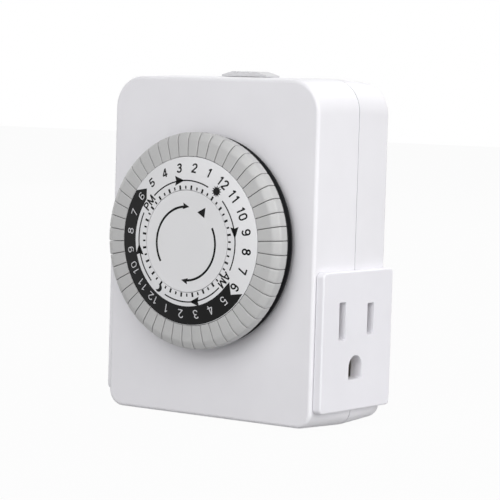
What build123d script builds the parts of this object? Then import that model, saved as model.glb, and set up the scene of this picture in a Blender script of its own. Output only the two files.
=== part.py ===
from build123d import *

import os
from math import atan, cos, pi, radians, sin, sqrt, tan

# Plug-in 24-hour timer switch, in millimetres.
# X runs to the right of someone facing the dial, Y runs from the dial into the wall and Z is up.
# The origin is on the rear face, midway between the two plug blades.
# A level is a depth behind the casing's front face, and a height stands in front of it.

os.makedirs("parts", exist_ok=True)

# ---- Casing ---------------------------------------------------------------------------------
case_width = 64.9  # front face, where the draft starts
dial_height = 45.5  # dial's axis above the casing's bottom edge
dial_to_top = 41.3  # dial's axis to the casing's top edge
case_depth = 32.5
blade_height = 60.0  # blade line above the casing's bottom edge
seam_level = 17.2  # parting line
seam_gap = 0.26
front_draft = 1.8  # degrees, both shells are widest at the parting line
rear_draft = 2.7
wall = 2.0
top_corner = 8.9
bottom_corner = 5.0
front_edge = 1.3
rear_edge = 2.4
lip_thickness = 0.85
lip_length = 1.6
lip_clearance = 0.15
plinth_radius = 20.4  # raised disc under the dial
plinth_height = 2.4
plinth_wall = 1.6
hub_hole_clearance = 0.4

case_height = dial_height + dial_to_top
front_face = -case_depth
seam = front_face + seam_level
case_base = -blade_height
case_middle = case_base + case_height / 2
front_inside = front_face + wall
rear_inside = -wall
front_shell_end = seam - seam_gap / 2
rear_shell_start = seam + seam_gap / 2
case_ridge = case_base + case_height + seam_level * tan(radians(front_draft))

# ---- Dial -----------------------------------------------------------------------------------
dial_gap = 3.0  # casing's front face to the carrier's ribs and drum
rib_height = 1.5
rim_radius = 26.0
rim_wall = 0.7
rim_gap = 0.5  # casing's front face to the rim
drum_radius = 21.05
drum_wall = 1.6
drum_top = 8.5
web_thickness = 1.5
hub_radius = 6.0
spigot_radius = 4.0  # end of the hub that carries the dial gear
spigot_flat = 3.6
groove_radius = 3.2
ring_top = 10.05
ring_radius = 21.2
ring_slope = 4.9
ring_edge_height = 0.27
ring_peg_circle = 17.0
ring_peg_radius = 1.0
ring_peg_length = 1.2
ring_pegs = 3
centre_radius = 12.85
centre_gap = 0.12
running_gap = 0.45  # fixed centre disc over the turning web
spindle_radius = 2.5
shaft_clearance = 0.05
key_radius = 1.6
key_flat = 1.0
key_length = 0.7
press_clearance = 0.02

pin_count = 48
pins_per_node = 2
pin_start = 4.2  # degrees clockwise from the top to the first gap between pins
pin_gap = 0.5  # degrees
pin_inner_radius = 21.4
pin_outer_radius = 27.5
pin_bevel_radius = 25.7
pin_inner_top = 8.8
pin_bevel_top = 8.5
pin_outer_top = 7.44
pin_skirt_bottom = 4.2
pin_skirt_gap = 0.25  # skirt to the rim that it covers
pin_travel = 1.5
pin_lip_gap = 0.1  # left over the rim when a pin is right in
pin_foot_inner_radius = 21.6
pin_foot_clearance = 0.2
pin_foot_height = 3.2
pin_foot_root = 0.5  # of each foot in its pin
rib_width = 0.8

dial_z = case_base + dial_height
dial_axis = Axis((0, 0, dial_z), (0, 1, 0))
pin_pitch = 360 / pin_count
pin_sector = pin_pitch - pin_gap
rim_top = dial_gap + rib_height
pin_shoulder = rim_top + pin_travel + pin_lip_gap
pin_foot_radius = rim_radius - rim_wall - pin_foot_clearance
disc_back = drum_top + running_gap
web_back = drum_top - web_thickness

# ---- Gear train -----------------------------------------------------------------------------
pressure_angle = 25.0
addendum_share = 0.85
dedendum_share = 1.1
backlash = 0.1
flank_steps = 3
dial_module = 0.75
dial_teeth = 48
idler_pinion_teeth = 12
motor_module = 0.5
idler_teeth = 48
motor_teeth = 12
idler_direction = 225.0  # degrees clockwise from the top, dial axis to idler axis
motor_direction = 140.0  # degrees clockwise from the top, idler axis to motor axis
dial_gear_level = 2.8
dial_gear_thickness = 2.0
gear_holes = 6
gear_hole_circle = 11.2
gear_hole_radius = 3.0
pinion_overhang = 0.2
wheel_gap = 0.8
idler_wheel_thickness = 1.4
idler_collar_radius = 2.4
collar_gap = 0.2
arbor_radius = 1.0
arbor_head_radius = 1.7
arbor_head_height = 0.6
arbor_seat = 1.0  # depth of the arbor's blind hole in the front wall
hub_fit = 0.03
clip_thickness = 0.5
clip_ring_radius = 4.8
clip_opening = 3.0
clip_side_gap = 0.05

chassis_level = 8.0
chassis_thickness = 1.2
chassis_left = -28.0
chassis_right = 9.0
chassis_bottom = 4.0  # above the casing's bottom edge
chassis_top = 30.5  # above the dial's axis
chassis_corner = 3.0
upper_posts = ((-24.0, 18.5), (2.0, 25.5))  # x, above the dial's axis
lower_posts = ((-25.0, 14.0), (6.5, 7.0))  # x, above the casing's bottom edge
post_radius = 2.2
spindle_flange_radius = 3.6
spindle_flange_thickness = 1.8
motor_radius = 13.0
motor_length = 11.5
motor_edge = 1.0
motor_flange = 0.8
motor_bush_radius = 2.6
motor_bush_height = 1.4
motor_shaft_radius = 0.9
motor_shaft_depth = 3.0
motor_hole_radius = 3.8
motor_ear_radius = 2.6
motor_ear_distance = 15.6
motor_ear_direction = 50.0
small_screw_radius = 1.0
small_head_radius = 1.8
small_head_height = 1.2
chassis_screw_depth = 4.0
motor_screw_length = 1.8
pilot_spare = 0.6

# ---- Plug on the back -----------------------------------------------------------------------
blade_spacing = 12.7
blade_width = 6.35
blade_thickness = 1.52
blade_length = 17.5
blade_tip = 1.0
ground_drop = 11.9
ground_radius = 2.38
ground_neck = 0.2  # less in radius, inside the casing
ground_step = 0.5  # end of the neck, behind the rear face
ground_length = 21.0
ground_nose = 1.6
plug_clearance = 0.1
plug_base_width = 24.0
plug_base_margin = 3.4  # of the plug base above the blades and below the ground pin
plug_base_thickness = 3.4
tang_width = 3.0
tang_spare = 0.4

# ---- Outlet on the right side and blank cover on the left side ------------------------------
outlet_proud = 2.35  # of the casing's side
blank_proud = 1.45
outlet_front = 1.07  # behind the casing's front face
outlet_bottom = 3.9  # above the casing's bottom edge
outlet_top = 39.3
outlet_corner = 1.8
outlet_edge = 0.8
cover_seat = 0.85  # back of both covers' plates, in from the casing's side
outlet_gap = 0.2  # to the front shell only: the block seats on the rear shell
outlet_rebate = 2.4  # edge of the block that covers the casing's cut-out
outlet_skirt = 1.2
outlet_skirt_depth = 1.4
cutout_clearance = 0.25
slot_line = 26.8  # blade slots above the casing's bottom edge
slot_middle = 16.1  # behind the casing's front face
slot_width = 2.3
neutral_slot_length = 9.0
line_slot_length = 7.5
slot_lead_in = 0.45
ground_hole_width = 5.5
ground_hole_height = 5.2
ground_lead_in = 0.3

# ---- Contacts and bus bars ------------------------------------------------------------------
strip = 0.8
bus_width = 5.0
clip_grip = 1.4
ground_grip = 4.4
clip_height = 6.0
ground_clip_height = 5.0
clip_flare = 0.3
clip_flare_length = 1.5
clip_setback = 0.3  # of each clip's mouth from the carrier's open side
pocket_gap = 0.2
carrier_inset = 4.9  # carrier's open side, in from the outlet's face
carrier_length = 17.0
carrier_left_wall = 2.0
carrier_front = 6.0  # behind the casing's front face
carrier_back = 27.9
carrier_bottom = 9.4  # above the casing's bottom edge
carrier_top = 33.0
carrier_foot = 3.0
slot_fit = 0.15
neutral_leg_gap = 2.5  # neutral bar's leg, left of the carrier
neutral_level = 24.7  # middle of the neutral bar
ground_leg_gap = 3.9
plug_bar_gap = 0.5  # line and ground bars to the plug base
load_strap_left = 12.0
load_strap_reach = 7.1  # right of the carrier's left side
load_clip_strap = 4.0

# ---- Switch ---------------------------------------------------------------------------------
nose_radius = 23.4  # from the dial's axis
nose_gap_index = 4  # gap between pins that the nose stands in, counted clockwise from the top
nose_thickness = 0.6
nose_length = 2.0
nose_height = 2.45
nose_window = 0.8
lever_width = 3.0
lever_thickness = 1.8
lever_level = 6.7
lever_pivot_drop = 12.4  # pivot below the nose
lever_top_drop = 0.5  # lever's upper end below the link's upper face
lever_boss_radius = 1.7
lever_travel = 4.2  # degrees, of the slide's full travel
lever_stop = 4.8  # degrees, where the contacts meet
pivot_radius = 0.8
leaf_thickness = 0.4
leaf_gap = 0.05
leaf_foot = 6.0  # leaf's lower end below the pivot
leaf_head = 2.4  # leaf's upper end above the button
leaf_peg_radius = 0.5
leaf_peg_length = 0.8
leaf_pegs = (5.0, 14.0)  # above the pivot
button_radius = 1.5
button_shank_radius = 0.8
contact_rise = 7.0  # contact buttons above the nose
moving_button_height = 0.7
fixed_button_height = 0.8
contact_gap = 0.08  # left between the buttons when the lever is at its stop
tab_height = 4.6
load_tab_height = 4.2
cheek_thickness = 1.5
cheek_gap = 0.2
cheek_margin = 1.6
cheek_height = 6.0
base_width = 8.2
base_thickness = 4.0
base_foot = 0.35  # below the leaf's lower end
base_link_gap = 3.8  # base's top to the link
base_post_inset = 5.0
base_post_offset = 1.8
base_spigot_radius = 1.2
base_spigot_length = 2.0

# ---- Slide on the top -----------------------------------------------------------------------
slide_rest = -1.5  # its middle at rest; the slide moves right from here
slide_travel = 3.0
slide_length = 14.4
slide_width = 6.0
slide_plateau = 5.8
slide_height = 1.4  # above the casing's highest line
slide_lift = 0.15
slide_foot = 0.3
slide_rib_count = 4
slide_rib_pitch = 1.45
slide_groove_width = 0.75
slide_groove_depth = 0.4
neck_length = 4.0
neck_width = 2.6
neck_clearance = 0.3
keeper_length = 9.0
keeper_width = 6.4
keeper_thickness = 1.0
keeper_gap = 0.3
link_width = 3.4
link_thickness = 2.2
link_arm_left = 5.0
link_front_level = 3.0
link_toe = 0.6
ramp_gap = 0.15

# ---- Casing screws --------------------------------------------------------------------------
case_screw_radius = 1.4
case_head_radius = 2.5
case_head_height = 1.8
case_head_sink = 3.0
head_clearance = 0.2
case_screw_bite = 11.0  # into the front shell
boss_radius = 3.4
top_screw_inset = 6.25
top_screw_drop = 6.3
bottom_screw_inset = 8.45
bottom_screw_rise = 5.6


# ---- Helpers --------------------------------------------------------------------------------
def towards_dial(y, x=0.0, z=0.0):
    """Plane across the timer at y; its normal points to the front and its y axis is up."""
    return Plane(origin=(x, y, z), x_dir=(1, 0, 0), z_dir=(0, -1, 0))


def towards_right(x, y=0.0, z=0.0):
    """Plane along the timer's side at x; its x axis runs to the rear and its y axis is up."""
    return Plane(origin=(x, y, z), x_dir=(0, 1, 0), z_dir=(1, 0, 0))


def upwards(z, x=0.0, y=0.0):
    """Level plane at z."""
    return Plane(origin=(x, y, z), x_dir=(1, 0, 0), z_dir=(0, 0, 1))


def clock(radius, angle, x=0.0, z=0.0):
    """Point at radius and angle, in degrees clockwise from the top as seen from the front."""
    return x + radius * sin(radians(angle)), z + radius * cos(radians(angle))


def case_outline(y, inset=0.0):
    """Casing outline at y, moved inwards by inset; both shells draw in from the parting line."""
    draft = front_draft if y < seam else rear_draft
    grow = seam_level * tan(radians(front_draft)) - abs(y - seam) * tan(radians(draft)) - inset
    with BuildSketch(towards_dial(y, z=case_middle)) as outline:
        Rectangle(case_width + 2 * grow, case_height + 2 * grow)
        fillet(outline.vertices().group_by(Axis.Y)[-1], top_corner + grow)
        fillet(outline.vertices().group_by(Axis.Y)[0], bottom_corner + grow)
    return outline.sketch


def case_loft(start, end, inset=0.0, mode=Mode.ADD):
    """Body of the casing's outline between two depths, moved inwards by inset."""
    loft([case_outline(start, inset), case_outline(end, inset)], ruled=True, mode=mode)


def block(x, y, z, mode=Mode.ADD):
    """Box between two values on each axis."""
    with BuildSketch(upwards(min(z))) as base:
        with Locations(((x[0] + x[1]) / 2, (y[0] + y[1]) / 2)):
            Rectangle(abs(x[1] - x[0]), abs(y[1] - y[0]))
    extrude(base.sketch, amount=abs(z[1] - z[0]), mode=mode)


def round_bar(place, start, end, radius, mode=Mode.ADD):
    """Cylinder along Y at place, an (x, z) pair, between two depths."""
    with BuildSketch(towards_dial(end, place[0], place[1])) as section:
        Circle(radius)
    extrude(section.sketch, amount=end - start, mode=mode)


def around(middle, width):
    """Low and high value of a width about its middle."""
    return middle - width / 2, middle + width / 2


def widened(limits, by):
    """Limits moved apart by the same amount at both ends."""
    return min(limits) - by, max(limits) + by


def gear_outline(teeth, module, phase):
    """Spur gear sketch; phase is the angle in degrees from the sketch's x axis to a tooth."""
    pitch = teeth * module / 2
    base = pitch * cos(radians(pressure_angle))
    tip = pitch + addendum_share * module
    root = pitch - dedendum_share * module
    turned = tan(radians(pressure_angle)) - radians(pressure_angle)
    half_at_base = (pi * module / 2 - backlash / 2) / (2 * pitch) + turned
    start = max(base, root)
    flank = [(root, half_at_base)] if root < base else []
    for step in range(flank_steps + 1):
        radius = start + (tip - start) * step / flank_steps
        roll = sqrt(max((radius / base) ** 2 - 1, 0.0))
        flank.append((radius, half_at_base - (roll - atan(roll))))
    points = []
    for tooth in range(teeth):
        middle = radians(phase) + 2 * pi * tooth / teeth
        side = [(r, middle - a) for r, a in flank] + [(r, middle + a) for r, a in reversed(flank)]
        points += [(r * cos(a), r * sin(a)) for r, a in side]
    with BuildSketch(Plane.XY) as outline:
        with BuildLine():
            Polyline(*points, close=True)
        make_face()
    return outline.sketch


def gear(place, start, thickness, teeth, module, phase):
    """Spur gear at place, with its front face at start."""
    with BuildSketch(towards_dial(start + thickness, place[0], place[1])) as section:
        add(gear_outline(teeth, module, phase))
    extrude(section.sketch, amount=thickness)


def blade_clip(y, z, grip):
    """Two spring fingers about y, joined at their left end and flared at the carrier's open side."""
    inner = grip / 2
    straight = clip_mouth - clip_flare_length
    block((clip_back, clip_back + strip), around(y, grip + 2 * strip), z)
    for side in (-1, 1):
        with BuildSketch(upwards(min(z))) as finger:
            with BuildLine():
                Polyline(
                    (clip_back, y + side * inner),
                    (straight, y + side * inner),
                    (clip_mouth, y + side * (inner + clip_flare)),
                    (clip_mouth, y + side * (inner + clip_flare + strip)),
                    (straight, y + side * (inner + strip)),
                    (clip_back, y + side * (inner + strip)),
                    close=True,
                )
            make_face()
        extrude(finger.sketch, amount=abs(z[1] - z[0]))


# ---- Places worked out from the sizes above -------------------------------------------------
dial_place = (0.0, dial_z)
dial_section = Plane(origin=(0, front_face, dial_z), x_dir=(0, 0, 1), z_dir=(1, 0, 0))

idler_distance = dial_module * (dial_teeth + idler_pinion_teeth) / 2
motor_distance = motor_module * (idler_teeth + motor_teeth) / 2
idler_place = clock(idler_distance, idler_direction, 0.0, dial_z)
motor_place = clock(motor_distance, motor_direction, *idler_place)
dial_gear_start = front_face + dial_gear_level
dial_gear_end = dial_gear_start + dial_gear_thickness
spigot_end = dial_gear_end + 2 * clip_thickness
idler_pinion_start = dial_gear_start - pinion_overhang
idler_wheel_start = dial_gear_end + wheel_gap
idler_wheel_end = idler_wheel_start + idler_wheel_thickness
chassis_front = front_face + chassis_level
chassis_back = chassis_front + chassis_thickness
chassis_places = [(x, dial_z + z) for x, z in upper_posts]
chassis_places += [(x, case_base + z) for x, z in lower_posts]
ear_places = [
    clock(motor_ear_distance, motor_ear_direction, *motor_place),
    clock(motor_ear_distance, motor_ear_direction + 180, *motor_place),
]
top_screw = (case_width / 2 - top_screw_inset, case_base + case_height - top_screw_drop)
bottom_screw = (case_width / 2 - bottom_screw_inset, case_base + bottom_screw_rise)
case_screw_places = [(side * x, z) for x, z in (top_screw, bottom_screw) for side in (-1, 1)]

slot_z = case_base + slot_line
neutral_slot_y = front_face + slot_middle - blade_spacing / 2
line_slot_y = front_face + slot_middle + blade_spacing / 2
ground_slot_y = front_face + slot_middle
ground_slot_z = slot_z - ground_drop
outlet_face = case_width / 2 + outlet_proud
cover_inside = case_width / 2 - cover_seat
cover_middle = (front_face / 2 + outlet_front / 2, case_base + (outlet_bottom + outlet_top) / 2)
skirt_end = cover_inside - outlet_skirt_depth
cutout_x = (case_width / 2 - 2 * wall, outlet_face)
cutout_y = (front_face + outlet_front + outlet_rebate, -outlet_rebate)
cutout_z = (case_base + outlet_bottom + outlet_rebate, case_base + outlet_top - outlet_rebate)

carrier_right = outlet_face - carrier_inset
carrier_left = carrier_right - carrier_length
neutral_leg = carrier_left - neutral_leg_gap
ground_leg = carrier_left - ground_leg_gap
clip_back = carrier_left + carrier_left_wall + clip_setback
clip_mouth = carrier_right - clip_setback
clip_z = around(slot_z, clip_height)
ground_clip_z = around(ground_slot_z, ground_clip_height)
ground_z = -ground_drop
ground_bore = ground_radius - ground_neck + plug_clearance
plug_base_front = rear_inside - plug_base_thickness
plug_bar_y = (plug_base_front - plug_bar_gap - strip, plug_base_front - plug_bar_gap)
neutral_bar_y = around(front_face + neutral_level, strip)

nose_angle = pin_start + nose_gap_index * pin_pitch
nose_x, nose_z = clock(nose_radius, nose_angle, 0.0, dial_z)
lever_front = front_face + lever_level
lever_back = lever_front + lever_thickness
lever_x = around(nose_x, lever_width)
pivot_y = lever_back - lever_boss_radius
pivot_z = nose_z - lever_pivot_drop
swing = radians(lever_stop)
button_z = nose_z + contact_rise
leaf_y = (lever_back + leaf_gap, lever_back + leaf_gap + leaf_thickness)
button_y = leaf_y[1] + moving_button_height
contact_reach = (
    pivot_y + (button_y - pivot_y) * cos(swing) + (button_z + button_radius - pivot_z) * sin(swing)
)
line_tab_start = contact_reach + contact_gap + fixed_button_height
base_front = line_tab_start + strip
foot_reach = pivot_y + (leaf_y[0] - pivot_y) * cos(swing) - leaf_foot * sin(swing)
load_tab_end = foot_reach - contact_gap

slide_base_z = case_ridge + slide_lift
slot_x = around(slide_rest + slide_travel / 2, neck_length + slide_travel + 2 * neck_clearance)
keeper_top = case_ridge - wall - keeper_gap
link_top = keeper_top - keeper_thickness
link_bottom = link_top - link_thickness
lever_top = link_top - lever_top_drop
base_z = (pivot_z - leaf_foot - base_foot, link_bottom - base_link_gap)
base_post_z = (base_z[0] + base_post_inset, base_z[1] - base_post_inset)
link_arm_right = link_arm_left + link_width
tilt = radians(lever_travel)
ramp_rise = (link_bottom - pivot_z) * sin(tilt) + (lever_front - pivot_y) * (cos(tilt) - 1)
ramp_slope = ramp_rise / slide_travel


def side_windows():
    """Cut-outs in both sides of a shell, for the outlet and the blank cover."""
    for side in (-1, 1):
        block(
            (side * cutout_x[0], side * cutout_x[1]),
            widened(cutout_y, cutout_clearance),
            widened(cutout_z, cutout_clearance),
            Mode.SUBTRACT,
        )


def raised_cover(face):
    """Cover over the right side's cut-out, out to face; its rear part lies on the rear shell."""
    with BuildSketch(towards_right(cover_inside, *cover_middle)) as outline:
        RectangleRounded(case_depth - outlet_front, outlet_top - outlet_bottom, outlet_corner)
    extrude(outline.sketch, amount=face - cover_inside)
    fillet(faces().sort_by(Axis.X)[-1].edges(), outlet_edge)
    case_loft(front_face, rear_shell_start, -outlet_gap, Mode.SUBTRACT)
    add(rear_envelope.part, mode=Mode.SUBTRACT)
    block((cover_inside, face - outlet_edge), cutout_y, cutout_z)
    block((skirt_end, cover_inside), cutout_y, cutout_z)
    block(
        (skirt_end, cover_inside),
        widened(cutout_y, -outlet_skirt),
        widened(cutout_z, -outlet_skirt),
        Mode.SUBTRACT,
    )


# ---- Front shell ----------------------------------------------------------------------------
with BuildPart() as front_shell:
    case_loft(front_face, front_shell_end)
    fillet(front_shell.faces().sort_by(Axis.Y)[0].edges(), front_edge)
    case_loft(front_inside, front_shell_end, wall, Mode.SUBTRACT)
    rebate_end = front_shell_end - lip_length - lip_clearance
    case_loft(rebate_end, front_shell_end, wall - lip_thickness - lip_clearance, Mode.SUBTRACT)
    round_bar(dial_place, front_face - plinth_height, front_inside, plinth_radius)
    plinth_core = front_face - plinth_height + plinth_wall
    round_bar(dial_place, plinth_core, front_inside, plinth_radius - plinth_wall, Mode.SUBTRACT)
    for place in case_screw_places:
        round_bar(place, front_inside - wall / 2, front_shell_end, boss_radius)
    for place in chassis_places:
        round_bar(place, front_inside - wall / 2, chassis_front, post_radius)
    round_bar(idler_place, front_inside - wall / 2, idler_pinion_start - collar_gap, post_radius)
    hub_hole = hub_radius + hub_hole_clearance
    round_bar(dial_place, plinth_core - plinth_wall, front_inside, hub_hole, Mode.SUBTRACT)
    for place in case_screw_places:
        bite = front_shell_end - case_screw_bite - pilot_spare
        round_bar(place, bite, front_shell_end, case_screw_radius + press_clearance, Mode.SUBTRACT)
    for place in chassis_places:
        bite = chassis_front - chassis_screw_depth - pilot_spare
        round_bar(place, bite, chassis_front, small_screw_radius + press_clearance, Mode.SUBTRACT)
    arbor_hole = arbor_radius + press_clearance
    arbor_front = front_inside - arbor_seat
    round_bar(idler_place, arbor_front, idler_pinion_start, arbor_hole, Mode.SUBTRACT)
    with BuildSketch(towards_dial(front_inside, nose_x, nose_z)):
        Rectangle(
            nose_length + 2 * nose_window,
            nose_thickness + 2 * nose_window,
            rotation=90 - nose_angle,
        )
    extrude(amount=wall, mode=Mode.SUBTRACT)
    side_windows()
    slot_y = around(seam, neck_width + 2 * neck_clearance)
    block(slot_x, slot_y, (keeper_top, case_ridge), Mode.SUBTRACT)
front_shell.part.label = "front_shell"
export_step(front_shell.part, "parts/front_shell.step")

# ---- Rear shell -----------------------------------------------------------------------------
with BuildPart() as rear_envelope:
    case_loft(rear_shell_start, 0.0)
    fillet(rear_envelope.faces().sort_by(Axis.Y)[-1].edges(), rear_edge)

with BuildPart() as rear_shell:
    add(rear_envelope.part)
    lip_start = front_shell_end - lip_length
    case_loft(lip_start, rear_shell_start, wall - lip_thickness)
    case_loft(lip_start, rear_shell_start, wall, Mode.SUBTRACT)
    case_loft(rear_shell_start, rear_inside, wall, Mode.SUBTRACT)
    for place in case_screw_places:
        round_bar(place, rear_shell_start, rear_inside + wall / 2, boss_radius)
    post_x = nose_x + base_post_offset
    for post in base_post_z:
        place = (post_x, post)
        round_bar(place, base_front + base_thickness, rear_inside + wall / 2, post_radius)
        spigot_start = base_front + base_thickness - base_spigot_length
        round_bar(place, spigot_start, rear_inside, base_spigot_radius)
    for place in case_screw_places:
        seat = -case_head_sink - case_head_height
        round_bar(place, rear_shell_start, seat, case_screw_radius + head_clearance, Mode.SUBTRACT)
        round_bar(place, seat, 0.0, case_head_radius + head_clearance, Mode.SUBTRACT)
    for side in (-1, 1):
        block(
            around(side * blade_spacing / 2, blade_thickness + 2 * plug_clearance),
            (rear_inside, 0.0),
            around(0.0, blade_width + 2 * plug_clearance),
            Mode.SUBTRACT,
        )
    round_bar((0.0, ground_z), rear_inside, 0.0, ground_radius + plug_clearance, Mode.SUBTRACT)
    side_windows()
    slot_end = seam + neck_width / 2 + neck_clearance
    block(slot_x, (lip_start - lip_length, slot_end), (keeper_top, case_ridge), Mode.SUBTRACT)
rear_shell.part.label = "rear_shell"
export_step(rear_shell.part, "parts/rear_shell.step")

# ---- Outlet block and blank cover -----------------------------------------------------------
with BuildPart() as outlet_block:
    raised_cover(outlet_face)
    outer = outlet_face - cover_inside
    with BuildSketch(towards_right(cover_inside)):
        with Locations((neutral_slot_y, slot_z)):
            Rectangle(slot_width, neutral_slot_length)
        with Locations((line_slot_y, slot_z)):
            Rectangle(slot_width, line_slot_length)
    extrude(amount=outer, mode=Mode.SUBTRACT)
    with BuildSketch(towards_right(cover_inside)):
        half = ground_hole_width / 2
        with Locations((ground_slot_y, ground_slot_z)):
            Circle(half)
        with Locations((ground_slot_y, ground_slot_z - half)):
            Rectangle(ground_hole_width, ground_hole_width)
        floor = ground_slot_z - (ground_hole_height - half)
        with Locations((ground_slot_y, floor - half)):
            Rectangle(2 * ground_hole_width, ground_hole_width, mode=Mode.SUBTRACT)
    extrude(amount=outer, mode=Mode.SUBTRACT)
    face_edges = outlet_block.faces().sort_by(Axis.X)[-1].inner_wires().edges()
    slot_edges = face_edges.filter_by(lambda edge: edge.center().Z > ground_slot_z + half + 1)
    chamfer(slot_edges, slot_lead_in)
    face_edges = outlet_block.faces().sort_by(Axis.X)[-1].inner_wires().edges()
    ground_edges = face_edges.filter_by(lambda edge: edge.center().Z < ground_slot_z + half + 1)
    chamfer(ground_edges, ground_lead_in)
outlet_block.part.label = "outlet_block"
export_step(outlet_block.part, "parts/outlet_block.step")

with BuildPart() as blank_cover:
    raised_cover(case_width / 2 + blank_proud)
    mirror(about=Plane.YZ, mode=Mode.REPLACE)
blank_cover.part.label = "blank_cover"
export_step(blank_cover.part, "parts/blank_cover.step")

# ---- Plug: blades, ground pin and their base ------------------------------------------------
blade_bars = {"line_blade": plug_bar_y, "neutral_blade": neutral_bar_y}
for name, side in (("line_blade", 1), ("neutral_blade", -1)):
    x = side * blade_spacing / 2
    with BuildPart() as blade:
        with BuildSketch(upwards(-blade_width / 2, x)):
            with BuildLine():
                Polyline(
                    (-blade_thickness / 2, plug_base_front),
                    (-blade_thickness / 2, blade_length - blade_tip),
                    (-blade_thickness / 4, blade_length),
                    (blade_thickness / 4, blade_length),
                    (blade_thickness / 2, blade_length - blade_tip),
                    (blade_thickness / 2, plug_base_front),
                    close=True,
                )
            make_face()
        extrude(amount=blade_width)
        tang_end = blade_bars[name][0] - tang_spare
        block(around(x, blade_thickness), (tang_end, plug_base_front), around(0.0, tang_width))
    blade.part.label = name
    export_step(blade.part, f"parts/{name}.step")

ground_tail = ground_radius - strip
with BuildPart() as ground_pin:
    round_bar((0.0, ground_z), ground_step, ground_length, ground_radius)
    fillet(ground_pin.faces().sort_by(Axis.Y)[-1].edges(), ground_nose)
    round_bar((0.0, ground_z), plug_base_front, ground_step, ground_radius - ground_neck)
    round_bar((0.0, ground_z), plug_bar_y[0] - tang_spare, plug_base_front, ground_tail)
ground_pin.part.label = "ground_pin"
export_step(ground_pin.part, "parts/ground_pin.step")

with BuildPart() as plug_base:
    base_limits = (ground_z - ground_radius - plug_base_margin, blade_width / 2 + plug_base_margin)
    block(around(0.0, plug_base_width), (plug_base_front, rear_inside), base_limits)
    fillet(plug_base.edges().filter_by(Axis.Y), plug_base_margin / 2)
    for side in (-1, 1):
        block(
            around(side * blade_spacing / 2, blade_thickness + 2 * plug_clearance),
            (plug_base_front, rear_inside),
            around(0.0, blade_width + 2 * plug_clearance),
            Mode.SUBTRACT,
        )
    round_bar((0.0, ground_z), plug_base_front, rear_inside, ground_bore, Mode.SUBTRACT)
plug_base.part.label = "plug_base"
export_step(plug_base.part, "parts/plug_base.step")

# ---- Bus bars -------------------------------------------------------------------------------
tang_hole = (blade_thickness + 2 * plug_clearance, tang_width + 2 * plug_clearance)
tab_z = around(button_z, tab_height)
line_strap_x = around(blade_spacing / 2, bus_width)
line_strap_top = tab_z[1] + strip / 2

with BuildPart() as line_bus:
    block(line_strap_x, plug_bar_y, (-tang_hole[1], line_strap_top))
    block(line_strap_x, (line_tab_start, plug_bar_y[1]), (line_strap_top - strip, line_strap_top))
    block((line_strap_x[0], lever_x[1] + strip), around(line_tab_start + strip / 2, strip),
          (tab_z[0], line_strap_top))
    block(around(blade_spacing / 2, tang_hole[0]), plug_bar_y, around(0.0, tang_hole[1]),
          Mode.SUBTRACT)
    round_bar((nose_x, button_z), line_tab_start, base_front,
              button_shank_radius + press_clearance, Mode.SUBTRACT)
line_bus.part.label = "line_bus"
export_step(line_bus.part, "parts/line_bus.step")

with BuildPart() as fixed_contact:
    round_bar((nose_x, button_z), line_tab_start - fixed_button_height, line_tab_start, button_radius)
    fillet(fixed_contact.faces().sort_by(Axis.Y)[0].edges(), fixed_button_height / 4)
    round_bar((nose_x, button_z), line_tab_start, base_front, button_shank_radius)
fixed_contact.part.label = "fixed_contact"
export_step(fixed_contact.part, "parts/fixed_contact.step")

neutral_strap_x = around(-blade_spacing / 2, bus_width)
with BuildPart() as neutral_bus:
    block(neutral_strap_x, neutral_bar_y, (clip_z[0], tang_hole[1]))
    block((neutral_strap_x[0], neutral_leg + strip / 2), neutral_bar_y, clip_z)
    leg_y = (neutral_slot_y - strip / 2, neutral_bar_y[1])
    block(around(neutral_leg, strip), leg_y, clip_z)
    block((neutral_leg, clip_back + strip), around(neutral_slot_y, strip), clip_z)
    blade_clip(neutral_slot_y, clip_z, clip_grip)
    block(around(-blade_spacing / 2, tang_hole[0]), neutral_bar_y, around(0.0, tang_hole[1]),
          Mode.SUBTRACT)
neutral_bus.part.label = "neutral_bus"
export_step(neutral_bus.part, "parts/neutral_bus.step")

with BuildPart() as ground_bus:
    strap_top = ground_z + ground_radius
    block(around(0.0, bus_width), plug_bar_y, (ground_clip_z[0], strap_top))
    block((-bus_width / 2, ground_leg + strip / 2), plug_bar_y, ground_clip_z)
    leg_y = (ground_slot_y - strip / 2, plug_bar_y[1])
    block(around(ground_leg, strip), leg_y, ground_clip_z)
    block((ground_leg, clip_back + strip), around(ground_slot_y, strip), ground_clip_z)
    blade_clip(ground_slot_y, ground_clip_z, ground_grip)
    round_bar((0.0, ground_z), *plug_bar_y, ground_tail + plug_clearance, Mode.SUBTRACT)
ground_bus.part.label = "ground_bus"
export_step(ground_bus.part, "parts/ground_bus.step")

load_strap_y = (line_slot_y + clip_grip / 2, line_slot_y + clip_grip / 2 + strip)
load_strap_x = (load_strap_left, carrier_left + load_strap_reach)
load_clip_x = (load_strap_x[1] - load_clip_strap, load_strap_x[1])
load_shelf_z = base_z[0] - 1.75 * strip
load_tab_z = (load_shelf_z, load_shelf_z + strip + load_tab_height)
with BuildPart() as load_bus:
    blade_clip(line_slot_y, clip_z, clip_grip)
    block(load_clip_x, load_strap_y, (clip_z[1] - strip, case_base + carrier_top + strip))
    block(load_strap_x, load_strap_y, (case_base + carrier_top + strip / 2, load_shelf_z + strip))
    shelf_y = (load_tab_end - strip, load_strap_y[1])
    block(lever_x, shelf_y, (load_shelf_z, load_shelf_z + strip))
    block(lever_x, (load_tab_end - strip, load_tab_end), load_tab_z)
load_bus.part.label = "load_bus"
export_step(load_bus.part, "parts/load_bus.step")

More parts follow.
